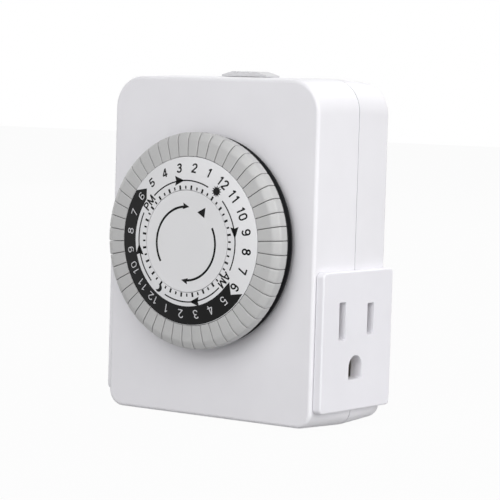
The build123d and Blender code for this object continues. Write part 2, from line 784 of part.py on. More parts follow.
# ---- Contact carrier ------------------------------------------------------------------------
carrier_y = (front_face + carrier_front, front_face + carrier_back)
carrier_z = (case_base + carrier_bottom, case_base + carrier_top)
pocket_x = (carrier_left + carrier_left_wall, carrier_right)
with BuildPart() as contact_carrier:
    block((carrier_left, carrier_right), carrier_y, carrier_z)
    for x in (carrier_left + carrier_foot, carrier_right - carrier_foot):
        block(around(x, carrier_foot), (carrier_y[1], rear_inside), widened(carrier_z, -carrier_foot))
    pockets = (
        (neutral_slot_y, clip_z, clip_grip),
        (line_slot_y, clip_z, clip_grip),
        (ground_slot_y, ground_clip_z, ground_grip),
    )
    for y, z, grip in pockets:
        width = grip + 2 * (strip + clip_flare + pocket_gap)
        block(pocket_x, around(y, width), widened(z, pocket_gap), Mode.SUBTRACT)
    for y, z in ((neutral_slot_y, clip_z), (ground_slot_y, ground_clip_z)):
        stem_y = around(y, strip + 2 * slot_fit)
        block((carrier_left, pocket_x[0]), stem_y, widened(z, slot_fit), Mode.SUBTRACT)
    strap_slot_x = (load_clip_x[0] - slot_fit, carrier_right)
    block(strap_slot_x, widened(load_strap_y, slot_fit), (clip_z[1], carrier_z[1]), Mode.SUBTRACT)
contact_carrier.part.label = "contact_carrier"
export_step(contact_carrier.part, "parts/contact_carrier.step")

# ---- Chassis plate and its screws -----------------------------------------------------------
with BuildPart() as chassis_plate:
    chassis_z = (case_base + chassis_bottom, dial_z + chassis_top)
    chassis_middle = ((chassis_left + chassis_right) / 2, sum(chassis_z) / 2)
    with BuildSketch(towards_dial(chassis_back, *chassis_middle)):
        RectangleRounded(chassis_right - chassis_left, chassis_z[1] - chassis_z[0], chassis_corner)
    extrude(amount=chassis_thickness)
    for place in case_screw_places:
        notch = boss_radius + 3 * head_clearance
        round_bar(place, chassis_front, chassis_back, notch, Mode.SUBTRACT)
    holes = [(place, small_screw_radius + press_clearance) for place in chassis_places + ear_places]
    holes.append((dial_place, spindle_radius - key_length + press_clearance))
    holes.append((idler_place, arbor_radius + press_clearance))
    holes.append((motor_place, motor_hole_radius))
    for place, radius in holes:
        round_bar(place, chassis_front, chassis_back, radius, Mode.SUBTRACT)
chassis_plate.part.label = "chassis_plate"
export_step(chassis_plate.part, "parts/chassis_plate.step")

with BuildPart() as chassis_screws:
    for place in chassis_places:
        round_bar(place, chassis_front - chassis_screw_depth, chassis_back, small_screw_radius)
        round_bar(place, chassis_back, chassis_back + small_head_height, small_head_radius)
chassis_screws.part.label = "chassis_screws"
export_step(chassis_screws.part, "parts/chassis_screws.step")

# ---- Dial spindle and centre disc, which stand still ----------------------------------------
with BuildPart() as dial_spindle:
    flange_start = chassis_front - spindle_flange_thickness
    tail_radius = spindle_radius - key_length
    round_bar(dial_place, front_face - disc_back, chassis_front, spindle_radius)
    round_bar(dial_place, flange_start, chassis_front, spindle_flange_radius)
    round_bar(dial_place, chassis_front, chassis_back, tail_radius)
    round_bar(dial_place, chassis_back, chassis_back + key_length, spindle_radius)
    key_front = front_face - disc_back - key_length
    with BuildSketch(towards_dial(front_face - disc_back, *dial_place)):
        Circle(key_radius)
        with Locations((0, key_flat + key_radius)):
            Rectangle(2 * key_radius, 2 * key_radius, mode=Mode.SUBTRACT)
    extrude(amount=key_length)
dial_spindle.part.label = "dial_spindle"
export_step(dial_spindle.part, "parts/dial_spindle.step")

with BuildPart() as centre_disc:
    round_bar(dial_place, front_face - ring_top, front_face - disc_back, centre_radius)
    with BuildSketch(towards_dial(front_face - disc_back, *dial_place)):
        Circle(key_radius + shaft_clearance)
        with Locations((0, key_flat + shaft_clearance + key_radius)):
            Rectangle(3 * key_radius, 2 * key_radius, mode=Mode.SUBTRACT)
    extrude(amount=key_length + shaft_clearance, mode=Mode.SUBTRACT)
centre_disc.part.label = "centre_disc"
export_step(centre_disc.part, "parts/centre_disc.step")

# ---- Dial: carrier, printed ring, gear and clip ---------------------------------------------
peg_holes = {"radius": ring_peg_circle, "count": ring_pegs, "start_angle": 90}
with BuildPart() as dial_carrier:
    bore = spindle_radius + shaft_clearance
    gear_height = -dial_gear_level
    spigot_height = front_face - spigot_end
    with BuildSketch(dial_section):
        with BuildLine():
            Polyline(
                (bore, drum_top),
                (drum_radius, drum_top),
                (drum_radius, dial_gap),
                (drum_radius - drum_wall, dial_gap),
                (drum_radius - drum_wall, web_back),
                (hub_radius, web_back),
                (hub_radius, gear_height),
                (spigot_radius, gear_height),
                (spigot_radius, spigot_height),
                (bore, spigot_height),
                close=True,
            )
        make_face()
        with Locations((rim_radius - rim_wall / 2, (rim_gap + rim_top) / 2)):
            Rectangle(rim_wall, rim_top - rim_gap)
    revolve(axis=dial_axis)
    rib_start = drum_radius - drum_wall / 2
    rib_end = rim_radius - rim_wall / 2
    with BuildSketch(towards_dial(front_face - dial_gap, *dial_place)):
        with PolarLocations((rib_start + rib_end) / 2, pin_count, start_angle=90 - pin_start):
            Rectangle(rib_end - rib_start, rib_width)
    extrude(amount=rib_height)
    for side in (-1, 1):
        block((side * spigot_flat, side * 2 * spigot_flat), (dial_gear_start, spigot_end),
              around(dial_z, 3 * spigot_radius), Mode.SUBTRACT)
    with BuildSketch(towards_dial(dial_gear_end + clip_thickness + clip_side_gap, *dial_place)):
        Circle(2 * spigot_radius)
        Circle(groove_radius, mode=Mode.SUBTRACT)
    extrude(amount=clip_thickness + clip_side_gap, mode=Mode.SUBTRACT)
    with BuildSketch(towards_dial(front_face - web_back, *dial_place)):
        with PolarLocations(**peg_holes):
            Circle(ring_peg_radius + hub_fit)
    extrude(amount=web_thickness, mode=Mode.SUBTRACT)
dial_carrier.part.label = "dial_carrier"
export_step(dial_carrier.part, "parts/dial_carrier.step")

with BuildPart() as dial_ring:
    with BuildSketch(dial_section):
        with BuildLine():
            Polyline(
                (centre_radius + centre_gap, drum_top),
                (ring_radius, drum_top),
                (ring_radius, drum_top + ring_edge_height),
                (ring_radius - ring_slope, ring_top),
                (centre_radius + centre_gap, ring_top),
                close=True,
            )
        make_face()
    revolve(axis=dial_axis)
    with BuildSketch(towards_dial(front_face - drum_top + ring_peg_length, *dial_place)):
        with PolarLocations(**peg_holes):
            Circle(ring_peg_radius)
    extrude(amount=ring_peg_length)
dial_ring.part.label = "dial_ring"
export_step(dial_ring.part, "parts/dial_ring.step")

with BuildPart() as dial_gear:
    gap_phase = 90 - idler_direction + 180 / dial_teeth
    gear(dial_place, dial_gear_start, dial_gear_thickness, dial_teeth, dial_module, gap_phase)
    with BuildSketch(towards_dial(dial_gear_end, *dial_place)):
        Circle(spigot_radius + hub_fit)
        Rectangle(2 * (spigot_flat + hub_fit), 3 * spigot_radius, mode=Mode.INTERSECT)
        with PolarLocations(gear_hole_circle, gear_holes):
            Circle(gear_hole_radius)
    extrude(amount=dial_gear_thickness, mode=Mode.SUBTRACT)
dial_gear.part.label = "dial_gear"
export_step(dial_gear.part, "parts/dial_gear.step")

with BuildPart() as dial_clip:
    with BuildSketch(towards_dial(dial_gear_end + clip_thickness, *dial_place)):
        Circle(clip_ring_radius)
        Circle(groove_radius + hub_fit, mode=Mode.SUBTRACT)
        with Locations((0, -clip_ring_radius)):
            Rectangle(clip_opening, clip_ring_radius, mode=Mode.SUBTRACT)
    extrude(amount=clip_thickness)
dial_clip.part.label = "dial_clip"
export_step(dial_clip.part, "parts/dial_clip.step")

# ---- Captive pins, two to a node ------------------------------------------------------------
def foot_half_width(radius):
    """Half width of a pin's foot between two ribs, at a radius from the dial's axis."""
    half_pitch = radians(pin_pitch / 2)
    return radius * tan(half_pitch) - (rib_width / 2 + pin_foot_clearance) / cos(half_pitch)


with BuildPart() as pin:
    with BuildSketch(dial_section):
        with BuildLine():
            Polyline(
                (pin_inner_radius, pin_shoulder),
                (pin_inner_radius, pin_inner_top),
                (pin_bevel_radius, pin_bevel_top),
                (pin_outer_radius, pin_outer_top),
                (pin_outer_radius, pin_skirt_bottom),
                (rim_radius + pin_skirt_gap, pin_skirt_bottom),
                (rim_radius + pin_skirt_gap, pin_shoulder),
                close=True,
            )
        make_face()
    revolve(axis=dial_axis, revolution_arc=pin_sector)
    pin_x, pin_z = clock(1.0, pin_sector / 2)
    foot_start = (0, front_face - pin_foot_height, dial_z)
    with BuildSketch(Plane(origin=foot_start, x_dir=(pin_x, 0, pin_z), z_dir=(0, -1, 0))):
        with BuildLine():
            Polyline(
                (pin_foot_inner_radius, -foot_half_width(pin_foot_inner_radius)),
                (pin_foot_radius, -foot_half_width(pin_foot_radius)),
                (pin_foot_radius, foot_half_width(pin_foot_radius)),
                (pin_foot_inner_radius, foot_half_width(pin_foot_inner_radius)),
                close=True,
            )
        make_face()
    extrude(amount=pin_shoulder + pin_foot_root - pin_foot_height)

for number in range(pin_count // pins_per_node):
    with BuildPart() as hour_pin:
        for half in range(pins_per_node):
            turn = pin_start + pin_gap / 2 + (number * pins_per_node + half) * pin_pitch
            add(pin.part.rotate(dial_axis, turn))
    name = f"hour_pin_{number + 1:02d}"
    hour_pin.part.label = name
    export_step(hour_pin.part, f"parts/{name}.step")

# ---- Idler, its arbor, and the motor --------------------------------------------------------
with BuildPart() as idler_gear:
    pinion_thickness = idler_wheel_start - idler_pinion_start
    gear(idler_place, idler_pinion_start, pinion_thickness, idler_pinion_teeth, dial_module,
         90 - idler_direction + 180)
    gap_phase = 90 - motor_direction + 180 / idler_teeth
    gear(idler_place, idler_wheel_start, idler_wheel_thickness, idler_teeth, motor_module, gap_phase)
    round_bar(idler_place, idler_wheel_end, chassis_front - collar_gap, idler_collar_radius)
    round_bar(idler_place, idler_pinion_start, chassis_front - collar_gap,
              arbor_radius + shaft_clearance, Mode.SUBTRACT)
idler_gear.part.label = "idler_gear"
export_step(idler_gear.part, "parts/idler_gear.step")

with BuildPart() as idler_arbor:
    round_bar(idler_place, arbor_front + pilot_spare / 4, chassis_back, arbor_radius)
    round_bar(idler_place, chassis_back, chassis_back + arbor_head_height, arbor_head_radius)
idler_arbor.part.label = "idler_arbor"
export_step(idler_arbor.part, "parts/idler_arbor.step")

bush_front = chassis_back - motor_bush_height
with BuildPart() as motor_can:
    round_bar(motor_place, chassis_back, chassis_back + motor_length, motor_radius)
    fillet(motor_can.faces().sort_by(Axis.Y)[-1].edges(), motor_edge)
    with BuildSketch(towards_dial(chassis_back + motor_flange, *motor_place)):
        SlotCenterToCenter(2 * motor_ear_distance, 2 * motor_ear_radius,
                           rotation=90 - motor_ear_direction)
    extrude(amount=motor_flange)
    round_bar(motor_place, bush_front, chassis_back, motor_bush_radius)
    shaft_end = chassis_back + motor_shaft_depth
    bush_bore = motor_shaft_radius + shaft_clearance
    round_bar(motor_place, bush_front, shaft_end + collar_gap, bush_bore, Mode.SUBTRACT)
    for place in ear_places:
        round_bar(place, chassis_back, chassis_back + motor_flange,
                  small_screw_radius + press_clearance, Mode.SUBTRACT)
motor_can.part.label = "motor_can"
export_step(motor_can.part, "parts/motor_can.step")

with BuildPart() as motor_pinion:
    pinion_thickness = idler_wheel_thickness + 2 * pinion_overhang
    gear(motor_place, idler_wheel_start - pinion_overhang, pinion_thickness, motor_teeth,
         motor_module, 90 - motor_direction + 180)
    round_bar(motor_place, idler_wheel_start, shaft_end, motor_shaft_radius)
motor_pinion.part.label = "motor_pinion"
export_step(motor_pinion.part, "parts/motor_pinion.step")

with BuildPart() as motor_screws:
    head_seat = chassis_back + motor_flange
    for place in ear_places:
        round_bar(place, head_seat - motor_screw_length, head_seat, small_screw_radius)
        round_bar(place, head_seat, head_seat + small_head_height, small_head_radius)
motor_screws.part.label = "motor_screws"
export_step(motor_screws.part, "parts/motor_screws.step")

# ---- Switch: base, lever, pin and leaf ------------------------------------------------------
cheek_offset = lever_width / 2 + cheek_gap
cheek_span = 2 * (cheek_offset + cheek_thickness)
with BuildPart() as switch_base:
    base_y = (base_front, base_front + base_thickness)
    block(around(nose_x, base_width), base_y, base_z)
    cheek_y = (pivot_y - pivot_radius - cheek_margin / 2, base_front)
    for side in (-1, 1):
        cheek_x = (nose_x + side * cheek_offset, nose_x + side * (cheek_offset + cheek_thickness))
        block(cheek_x, cheek_y, around(pivot_z, cheek_height))
    with BuildSketch(towards_right(nose_x - cheek_span / 2, pivot_y, pivot_z)):
        Circle(pivot_radius + press_clearance)
    extrude(amount=cheek_span, mode=Mode.SUBTRACT)
    for post in base_post_z:
        round_bar((post_x, post), spigot_start, base_y[1],
                  base_spigot_radius + shaft_clearance, Mode.SUBTRACT)
switch_base.part.label = "switch_base"
export_step(switch_base.part, "parts/switch_base.step")

with BuildPart() as lever_pin:
    with BuildSketch(towards_right(nose_x - cheek_span / 2, pivot_y, pivot_z)):
        Circle(pivot_radius)
    extrude(amount=cheek_span)
lever_pin.part.label = "lever_pin"
export_step(lever_pin.part, "parts/lever_pin.step")

with BuildPart() as switch_lever:
    block(lever_x, (lever_front, lever_back), (pivot_z, lever_top))
    with BuildSketch(towards_right(lever_x[0], pivot_y, pivot_z)):
        Circle(lever_boss_radius)
    extrude(amount=lever_width)
    with BuildSketch(towards_dial(lever_front, nose_x, nose_z)):
        Rectangle(nose_length, nose_thickness, rotation=90 - nose_angle)
    extrude(amount=lever_level + nose_height)
    for rise in leaf_pegs:
        round_bar((nose_x, pivot_z + rise), lever_back, lever_back + leaf_peg_length, leaf_peg_radius)
    with BuildSketch(towards_right(lever_x[0], pivot_y, pivot_z)):
        Circle(pivot_radius + shaft_clearance)
    extrude(amount=lever_width, mode=Mode.SUBTRACT)
switch_lever.part.label = "switch_lever"
export_step(switch_lever.part, "parts/switch_lever.step")

with BuildPart() as contact_leaf:
    block(lever_x, leaf_y, (pivot_z - leaf_foot, button_z + leaf_head))
    round_bar((nose_x, button_z), leaf_y[1], button_y, button_radius)
    for rise in leaf_pegs:
        round_bar((nose_x, pivot_z + rise), *leaf_y, leaf_peg_radius + shaft_clearance, Mode.SUBTRACT)
contact_leaf.part.label = "contact_leaf"
export_step(contact_leaf.part, "parts/contact_leaf.step")

# ---- Override slide and the link to the lever -----------------------------------------------
with BuildPart() as override_slide:
    knob_height = slide_height - slide_lift
    side_plane = Plane(origin=(slide_rest, seam, slide_base_z), x_dir=(1, 0, 0), z_dir=(0, -1, 0))
    with BuildSketch(side_plane):
        with BuildLine():
            Polyline(
                (-slide_length / 2, 0),
                (slide_length / 2, 0),
                (slide_length / 2, slide_foot),
                (slide_plateau / 2, knob_height),
                (-slide_plateau / 2, knob_height),
                (-slide_length / 2, slide_foot),
                close=True,
            )
        make_face()
        with Locations((0, knob_height)):
            with GridLocations(slide_rib_pitch, 1, slide_rib_count - 1, 1):
                Rectangle(slide_groove_width, 2 * slide_groove_depth, mode=Mode.SUBTRACT)
    extrude(amount=slide_width / 2, both=True)
    neck_z = (keeper_top, slide_base_z)
    block(around(slide_rest, neck_length), around(seam, neck_width), neck_z)
    block(around(slide_rest, keeper_length), around(seam, keeper_width), (link_top, keeper_top))
override_slide.part.label = "override_slide"
export_step(override_slide.part, "parts/override_slide.step")

with BuildPart() as override_link:
    link_front = front_face + link_front_level
    ramp_start = lever_front - ramp_gap
    with BuildSketch(upwards(link_bottom)):
        with BuildLine():
            Polyline(
                (slide_rest - keeper_length / 2, seam - link_width / 2),
                (link_arm_left, seam - link_width / 2),
                (link_arm_left, link_front),
                (lever_x[0] + link_toe, link_front),
                (lever_x[0] + link_toe, ramp_start - ramp_slope * link_toe),
                (link_arm_right, ramp_start + ramp_slope * (lever_x[0] - link_arm_right)),
                (link_arm_right, seam + link_width / 2),
                (slide_rest - keeper_length / 2, seam + link_width / 2),
                close=True,
            )
        make_face()
    extrude(amount=link_thickness)
override_link.part.label = "override_link"
export_step(override_link.part, "parts/override_link.step")

# ---- Casing screws --------------------------------------------------------------------------
with BuildPart() as case_screws:
    for place in case_screw_places:
        seat = -case_head_sink - case_head_height
        round_bar(place, front_shell_end - case_screw_bite, seat, case_screw_radius)
        round_bar(place, seat, -case_head_sink, case_head_radius)
case_screws.part.label = "case_screws"
export_step(case_screws.part, "parts/case_screws.step")
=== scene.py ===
from math import cos, degrees, hypot, pi, radians, sin, tan

import bmesh
import bpy
from bpy.props import FloatProperty, FloatVectorProperty, PointerProperty
from mathutils import Matrix, Vector


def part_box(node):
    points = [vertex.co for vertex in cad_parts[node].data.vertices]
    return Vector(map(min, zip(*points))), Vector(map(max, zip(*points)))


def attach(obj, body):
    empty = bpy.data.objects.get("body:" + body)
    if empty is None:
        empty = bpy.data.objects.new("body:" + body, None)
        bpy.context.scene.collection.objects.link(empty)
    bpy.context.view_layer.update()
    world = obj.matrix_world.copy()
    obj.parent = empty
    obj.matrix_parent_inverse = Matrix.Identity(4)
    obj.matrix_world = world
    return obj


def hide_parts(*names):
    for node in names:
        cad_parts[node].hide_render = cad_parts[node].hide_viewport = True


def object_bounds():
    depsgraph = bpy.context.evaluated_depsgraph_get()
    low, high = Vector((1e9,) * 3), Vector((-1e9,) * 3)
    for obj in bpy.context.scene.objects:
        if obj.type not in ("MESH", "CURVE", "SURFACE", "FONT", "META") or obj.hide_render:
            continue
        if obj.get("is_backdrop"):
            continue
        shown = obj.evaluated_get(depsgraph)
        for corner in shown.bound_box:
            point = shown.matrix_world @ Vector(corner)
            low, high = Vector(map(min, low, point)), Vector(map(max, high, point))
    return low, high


bl_info = {
    "name": "Plug-in Timer Switch",
    "version": (1, 0, 0),
    "blender": (4, 5, 0),
    "location": "3D View > Sidebar > Timer",
    "description": "Builds a 24-hour plug-in timer switch around its CAD frame",
    "category": "Add Mesh",
}

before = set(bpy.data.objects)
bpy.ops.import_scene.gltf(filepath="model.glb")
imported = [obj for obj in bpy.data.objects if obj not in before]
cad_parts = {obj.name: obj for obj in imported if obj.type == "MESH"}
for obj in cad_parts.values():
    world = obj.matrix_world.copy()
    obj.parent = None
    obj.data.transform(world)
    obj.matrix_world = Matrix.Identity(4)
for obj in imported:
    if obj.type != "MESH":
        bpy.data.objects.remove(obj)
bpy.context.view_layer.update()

# Shapes are modelled in millimetres and turned into metres when a piece is finished.
MM = 0.001
MERGE = 0.0005


def box_mm(node):
    """Lowest and highest corner of a CAD node, in millimetres."""
    return tuple(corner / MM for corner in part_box(node))


FRONT_LOW, FRONT_HIGH = box_mm("front_shell")
OUTLET_LOW, OUTLET_HIGH = box_mm("outlet_block")
BLANK_FACE = box_mm("blank_cover")[0].x
RING_LOW, RING_HIGH = box_mm("dial_ring")
DIAL_Z = (RING_LOW.z + RING_HIGH.z) / 2
DIAL_FACE = RING_LOW.y
SLIDE_LOW, SLIDE_HIGH = box_mm("override_slide")

# Shared by several pieces: the pins and their pitch in degrees, the gap round the plug's parts in
# the rear shell, the inner end of their exposed part, and the casing screws' heads and seats.
PINS = 48
PITCH = 360 / PINS
PLUG_GAP = 0.1
PLUG_INSIDE = -5.4
SCREW_HEAD = 2.5
WELL_FLOOR = -4.8


# ---- Settings ---------------------------------------------------------------------------------
def length(name, description, millimetres):
    """Length property from a default in millimetres."""
    return FloatProperty(
        name=name, description=description, default=millimetres * MM, min=0.0,
        unit="LENGTH", subtype="DISTANCE", precision=5,
    )


def angle(name, description, value):
    """Angle property from a default in degrees."""
    return FloatProperty(
        name=name, description=description, default=radians(value), unit="ROTATION", subtype="ANGLE"
    )


def amount(name, description, value):
    """Plain number property."""
    return FloatProperty(name=name, description=description, default=value, min=0.0)


def shade(value):
    """Linear light of a display tone from 0 to 255."""
    tone = value / 255
    return tone / 12.92 if tone <= 0.04045 else ((tone + 0.055) / 1.055) ** 2.4


def colour(name, description, red, green, blue):
    """Colour property from display tones from 0 to 255."""
    return FloatVectorProperty(
        name=name, description=description, subtype="COLOR", size=3, min=0.0, max=1.0,
        default=(shade(red), shade(green), shade(blue)),
    )


def mm(group, *names):
    """Several lengths of a settings group, in millimetres."""
    return [getattr(group, name) / MM for name in names]


class CasingSizes(bpy.types.PropertyGroup):
    """Sizes of the two casing shells"""

    width: length("Width", "Width of the front face", 64.9)
    height: length("Height", "Height of the front face", 86.8)
    depth: length("Depth", "Front face to rear face", 32.5)
    seam: length("Seam", "Front face to the parting line", 17.2)
    seam_gap: length("Seam gap", "Width of the parting line", 0.3)
    seam_depth: length("Seam depth", "Depth of the parting line", 0.45)
    front_draft: angle("Front draft", "Slope of the front shell's sides", 1.8)
    rear_draft: angle("Rear draft", "Slope of the rear shell's sides", 2.7)
    top_corner: length("Top corners", "Radius of the two upper corners", 8.3)
    bottom_corner: length("Bottom corners", "Radius of the two lower corners", 4.2)
    front_edge: length("Front edge", "Rounding of the front face's edge", 0.9)
    rear_edge: length("Rear edge", "Rounding of the rear face's edge", 1.5)
    wall: length("Wall", "Thickness of the shells", 2.0)
    plinth_radius: length("Plinth radius", "Raised disc under the dial", 20.4)
    plinth_height: length("Plinth height", "Raised disc above the front face", 2.4)
    hub_hole: length("Hub hole", "Radius of the hole for the dial's hub", 6.4)


class OutletSizes(bpy.types.PropertyGroup):
    """Sizes of the outlet block on the side"""

    corner: length("Corners", "Radius of the block's corners", 1.4)
    edge: length("Edge", "Rounding round the outlet's face", 0.5)
    rebate: length("Rebate", "Edge of the block that covers the casing's cut-out", 2.4)
    seat: length("Seat", "Back of the covers' plates, in from the casing's side", 0.85)
    gap: length("Gap", "Gap between the block and the casing", 0.08)
    slot_level: length("Slot level", "Blade slots above the casing's base", 27.3)
    slot_middle: length("Slot middle", "Ground hole behind the casing's front face", 16.1)
    slot_spacing: length("Slot spacing", "Distance between the blade slots", 12.7)
    slot_width: length("Slot width", "Width of the blade slots", 2.35)
    neutral_length: length("Neutral slot", "Length of the longer blade slot", 9.0)
    line_length: length("Line slot", "Length of the shorter blade slot", 7.5)
    ground_drop: length("Ground drop", "Ground hole below the blade slots", 11.85)
    ground_width: length("Ground width", "Width of the ground hole", 5.5)
    ground_height: length("Ground height", "Height of the ground hole", 5.75)
    lead_in: length("Lead-in", "Widening of the slots at the face", 0.38)


class DialSizes(bpy.types.PropertyGroup):
    """Sizes of the dial and its pins"""

    ring_radius: length("Ring radius", "Outer radius of the printed ring", 21.3)
    ring_slope: length("Ring slope", "Width of the ring's sloping border", 4.9)
    ring_thickness: length("Ring thickness", "Thickness of the printed ring", 1.55)
    ring_edge: length("Ring edge", "Thickness of the ring at its outer edge", 0.4)
    centre_radius: length("Centre radius", "Radius of the fixed centre disc", 12.85)
    centre_gap: length("Centre gap", "Gap between the centre disc and the ring", 0.12)
    pin_start: angle("First gap", "Clockwise from the top to a gap between pins", 4.2)
    pin_gap: angle("Pin gap", "Angle between neighbouring pins", 0.34)
    pin_inner: length("Pin inner radius", "Inner end of the pins", 21.4)
    pin_outer: length("Pin outer radius", "Outer end of the pins", 27.5)
    pin_bevel: length("Pin bevel radius", "Where the pins' outer slope starts", 25.7)
    pin_edge: length("Pin edge", "Rounding of the pins' edges", 0.17)
    pin_foot: length("Pin foot", "Outer end of the pins' feet", 25.1)
    rim_radius: length("Rim radius", "Outer radius of the dial carrier", 26.0)
    rim_gap: length("Rim gap", "Casing's front face to the carrier's rim", 0.5)
    rib_gap: length("Rib gap", "Casing's front face to the carrier's ribs", 3.0)
    rib_height: length("Rib height", "Height of the ribs between the pins", 1.5)
    drum_radius: length("Drum radius", "Wall of the dial carrier inside the pins", 21.05)
    print_height: length("Print height", "Thickness of the printing", 0.02)
    numeral_height: length("Numeral height", "Height of the hour numbers", 2.3)
    numeral_radius: length("Numeral circle", "Radius of the circle of hour numbers", 18.55)
    letter_height: length("Letter height", "Height of AM and PM", 2.1)
    letter_radius: length("Letter circle", "Radius of the circle of AM and PM", 15.2)


class Finishes(bpy.types.PropertyGroup):
    """Colours of the timer"""

    casing: colour("Casing", "White moulded plastic of the shells", 236, 235, 239)
    outlet: colour("Outlet", "White moulded plastic of the outlet block", 235, 234, 239)
    dial: colour("Dial face", "Printed ring and centre disc", 227, 227, 229)
    pins: colour("Pins", "Grey moulded plastic of the pins", 191, 191, 191)
    slide: colour("Slide", "Grey moulded plastic of the top slide", 206, 206, 208)
    # The carrier's black is partly painted shade: it also stands in for the dark gap under the
    # pins.
    carrier: colour("Carrier", "Black moulded plastic under the pins", 38, 38, 41)
    ink: colour("Ink", "Black printing", 10, 10, 11)
    knockout: colour("Numerals on black", "Pale numbers on the black band", 204, 204, 207)
    metal: colour("Plated brass", "Nickel plated brass of the plug", 206, 204, 198)
    brass: colour("Brass", "Bare brass strips", 214, 178, 104)
    silver: colour("Silver", "Contact buttons", 226, 224, 218)
    steel: colour("Steel", "Zinc plated steel", 176, 180, 186)
    inner: colour("Inner parts", "Switch base and contact carrier", 206, 202, 192)
    gears: colour("Gears", "Acetal gears", 230, 226, 212)


class StageSettings(bpy.types.PropertyGroup):
    """Camera, lights and floor"""

    azimuth: angle("Azimuth", "Camera's turn to the timer's right", 36.31)
    elevation: angle("Elevation", "Camera's height above the horizon", 3.89)
    roll: angle("Roll", "Camera's turn about its own axis", 1.655)
    distance: length("Distance", "Camera to the point that it looks at", 589.07)
    aim: FloatVectorProperty(
        name="Aim", description="Point in the middle of the view", size=3,
        default=(0.01259, -0.0325, -0.01629), subtype="XYZ", unit="LENGTH", precision=5,
    )
    lens: FloatProperty(name="Lens", description="Focal length in millimetres", default=168.23)
    ambient: amount("Ambient", "Strength of the surrounding light", 0.1)
    key_light: amount("Key light", "Power of the lamp high on the right, in watts", 5.3)
    upper_light: amount("Upper light", "Power of the lamp in front and above, in watts", 2.6)
    front_light: amount("Front light", "Power of the low lamp in front, in watts", 4.3)
    side_light: amount("Side light", "Power of the lamp on the outlet's side, in watts", 10.9)
    back_light: amount("Back light", "Power of the lamp above and behind, in watts", 6.3)
    left_light: amount("Left light", "Power of the lamp behind on the left, in watts", 4.2)
    floor_size: FloatProperty(
        name="Floor", description="Width of the floor", default=6.0, unit="LENGTH"
    )
    floor_white: FloatProperty(
        name="Floor brightness", default=0.965, min=0.0, max=1.0,
        description="Share of plain white in what the camera sees of the floor",
    )
    floor_tone: FloatProperty(
        name="Floor tone", default=0.4, min=0.0, max=1.0,
        description="Share of light that the floor's matt part gives back",
    )


# ---- Materials --------------------------------------------------------------------------------
def linked(tree, kind, sources=None, **values):
    """New node whose inputs come from other sockets or from plain values."""
    node = tree.nodes.new(kind)
    for name, value in values.items():
        if name in node.inputs:
            node.inputs[name].default_value = value
        else:
            setattr(node, name, value)
    for name, socket in (sources or {}).items():
        tree.links.new(socket, node.inputs[name])
    return node


def base_material(name, **shader_values):
    """Material with a Principled shader, its node tree and its Object coordinates."""
    material = bpy.data.materials.new(name)
    material.use_nodes = True
    tree = material.node_tree
    tree.nodes.clear()
    shader = linked(tree, "ShaderNodeBsdfPrincipled")
    for socket, value in shader_values.items():
        shader.inputs[socket.replace("_", " ")].default_value = value
    output = tree.nodes.new("ShaderNodeOutputMaterial")
    tree.links.new(shader.outputs["BSDF"], output.inputs["Surface"])
    coordinates = tree.nodes.new("ShaderNodeTexCoord")
    return material, tree, shader, coordinates.outputs["Object"]


def varied(tree, source, low, high):
    """Value between low and high that follows a texture."""
    spread = linked(tree, "ShaderNodeMapRange", {"Value": source})
    spread.inputs["From Min"].default_value = 0.3
    spread.inputs["From Max"].default_value = 0.7
    spread.inputs["To Min"].default_value = low
    spread.inputs["To Max"].default_value = high
    return spread.outputs["Result"]


def mixed(tree, source, first, second):
    """Colour that goes from the first to the second with a texture."""
    blend = linked(tree, "ShaderNodeMix", {"Factor": varied(tree, source, 0.0, 1.0)},
                   data_type="RGBA")
    blend.inputs["A"].default_value = (*first, 1.0)
    blend.inputs["B"].default_value = (*second, 1.0)
    return blend.outputs["Result"]


def bumped(tree, source, strength, depth):
    """Normal of small bumps, their depth in millimetres."""
    bump = linked(tree, "ShaderNodeBump", {"Height": source})
    bump.inputs["Strength"].default_value = strength
    bump.inputs["Distance"].default_value = depth * MM
    return bump.outputs["Normal"]


def moulded(name, tone, roughness=0.42, grain=0.35, grain_size=0.35, mottle=0.03):
    """Moulded plastic: fine spark-eroded grain, faint flow mottling and uneven gloss."""
    material, tree, shader, place = base_material(name, Specular_IOR_Level=0.4)
    fine = linked(tree, "ShaderNodeTexNoise", {"Vector": place})
    fine.inputs["Scale"].default_value = 1 / (grain_size * MM)
    fine.inputs["Detail"].default_value = 3.0
    fine.inputs["Roughness"].default_value = 0.6
    cloud = linked(tree, "ShaderNodeTexNoise", {"Vector": place})
    cloud.inputs["Scale"].default_value = 1 / (14 * MM)
    cloud.inputs["Detail"].default_value = 2.0
    darker = [value * (1 - mottle) for value in tone]
    tree.links.new(mixed(tree, cloud.outputs["Fac"], darker, tone), shader.inputs["Base Color"])
    gloss = varied(tree, fine.outputs["Fac"], roughness - 0.05, roughness + 0.06)
    tree.links.new(gloss, shader.inputs["Roughness"])
    tree.links.new(bumped(tree, fine.outputs["Fac"], grain, 0.004), shader.inputs["Normal"])
    return material


def printed(name, tone):
    """Hot-stamped printing: dense ink with small changes of cover."""
    material, tree, shader, place = base_material(name, Specular_IOR_Level=0.15)
    speck = linked(tree, "ShaderNodeTexNoise", {"Vector": place})
    speck.inputs["Scale"].default_value = 1 / (0.3 * MM)
    speck.inputs["Detail"].default_value = 2.0
    thin = [min(value * 1.25 + 0.002, 1.0) for value in tone]
    tree.links.new(mixed(tree, speck.outputs["Fac"], tone, thin), shader.inputs["Base Color"])
    tree.links.new(varied(tree, speck.outputs["Fac"], 0.38, 0.5), shader.inputs["Roughness"])
    return material


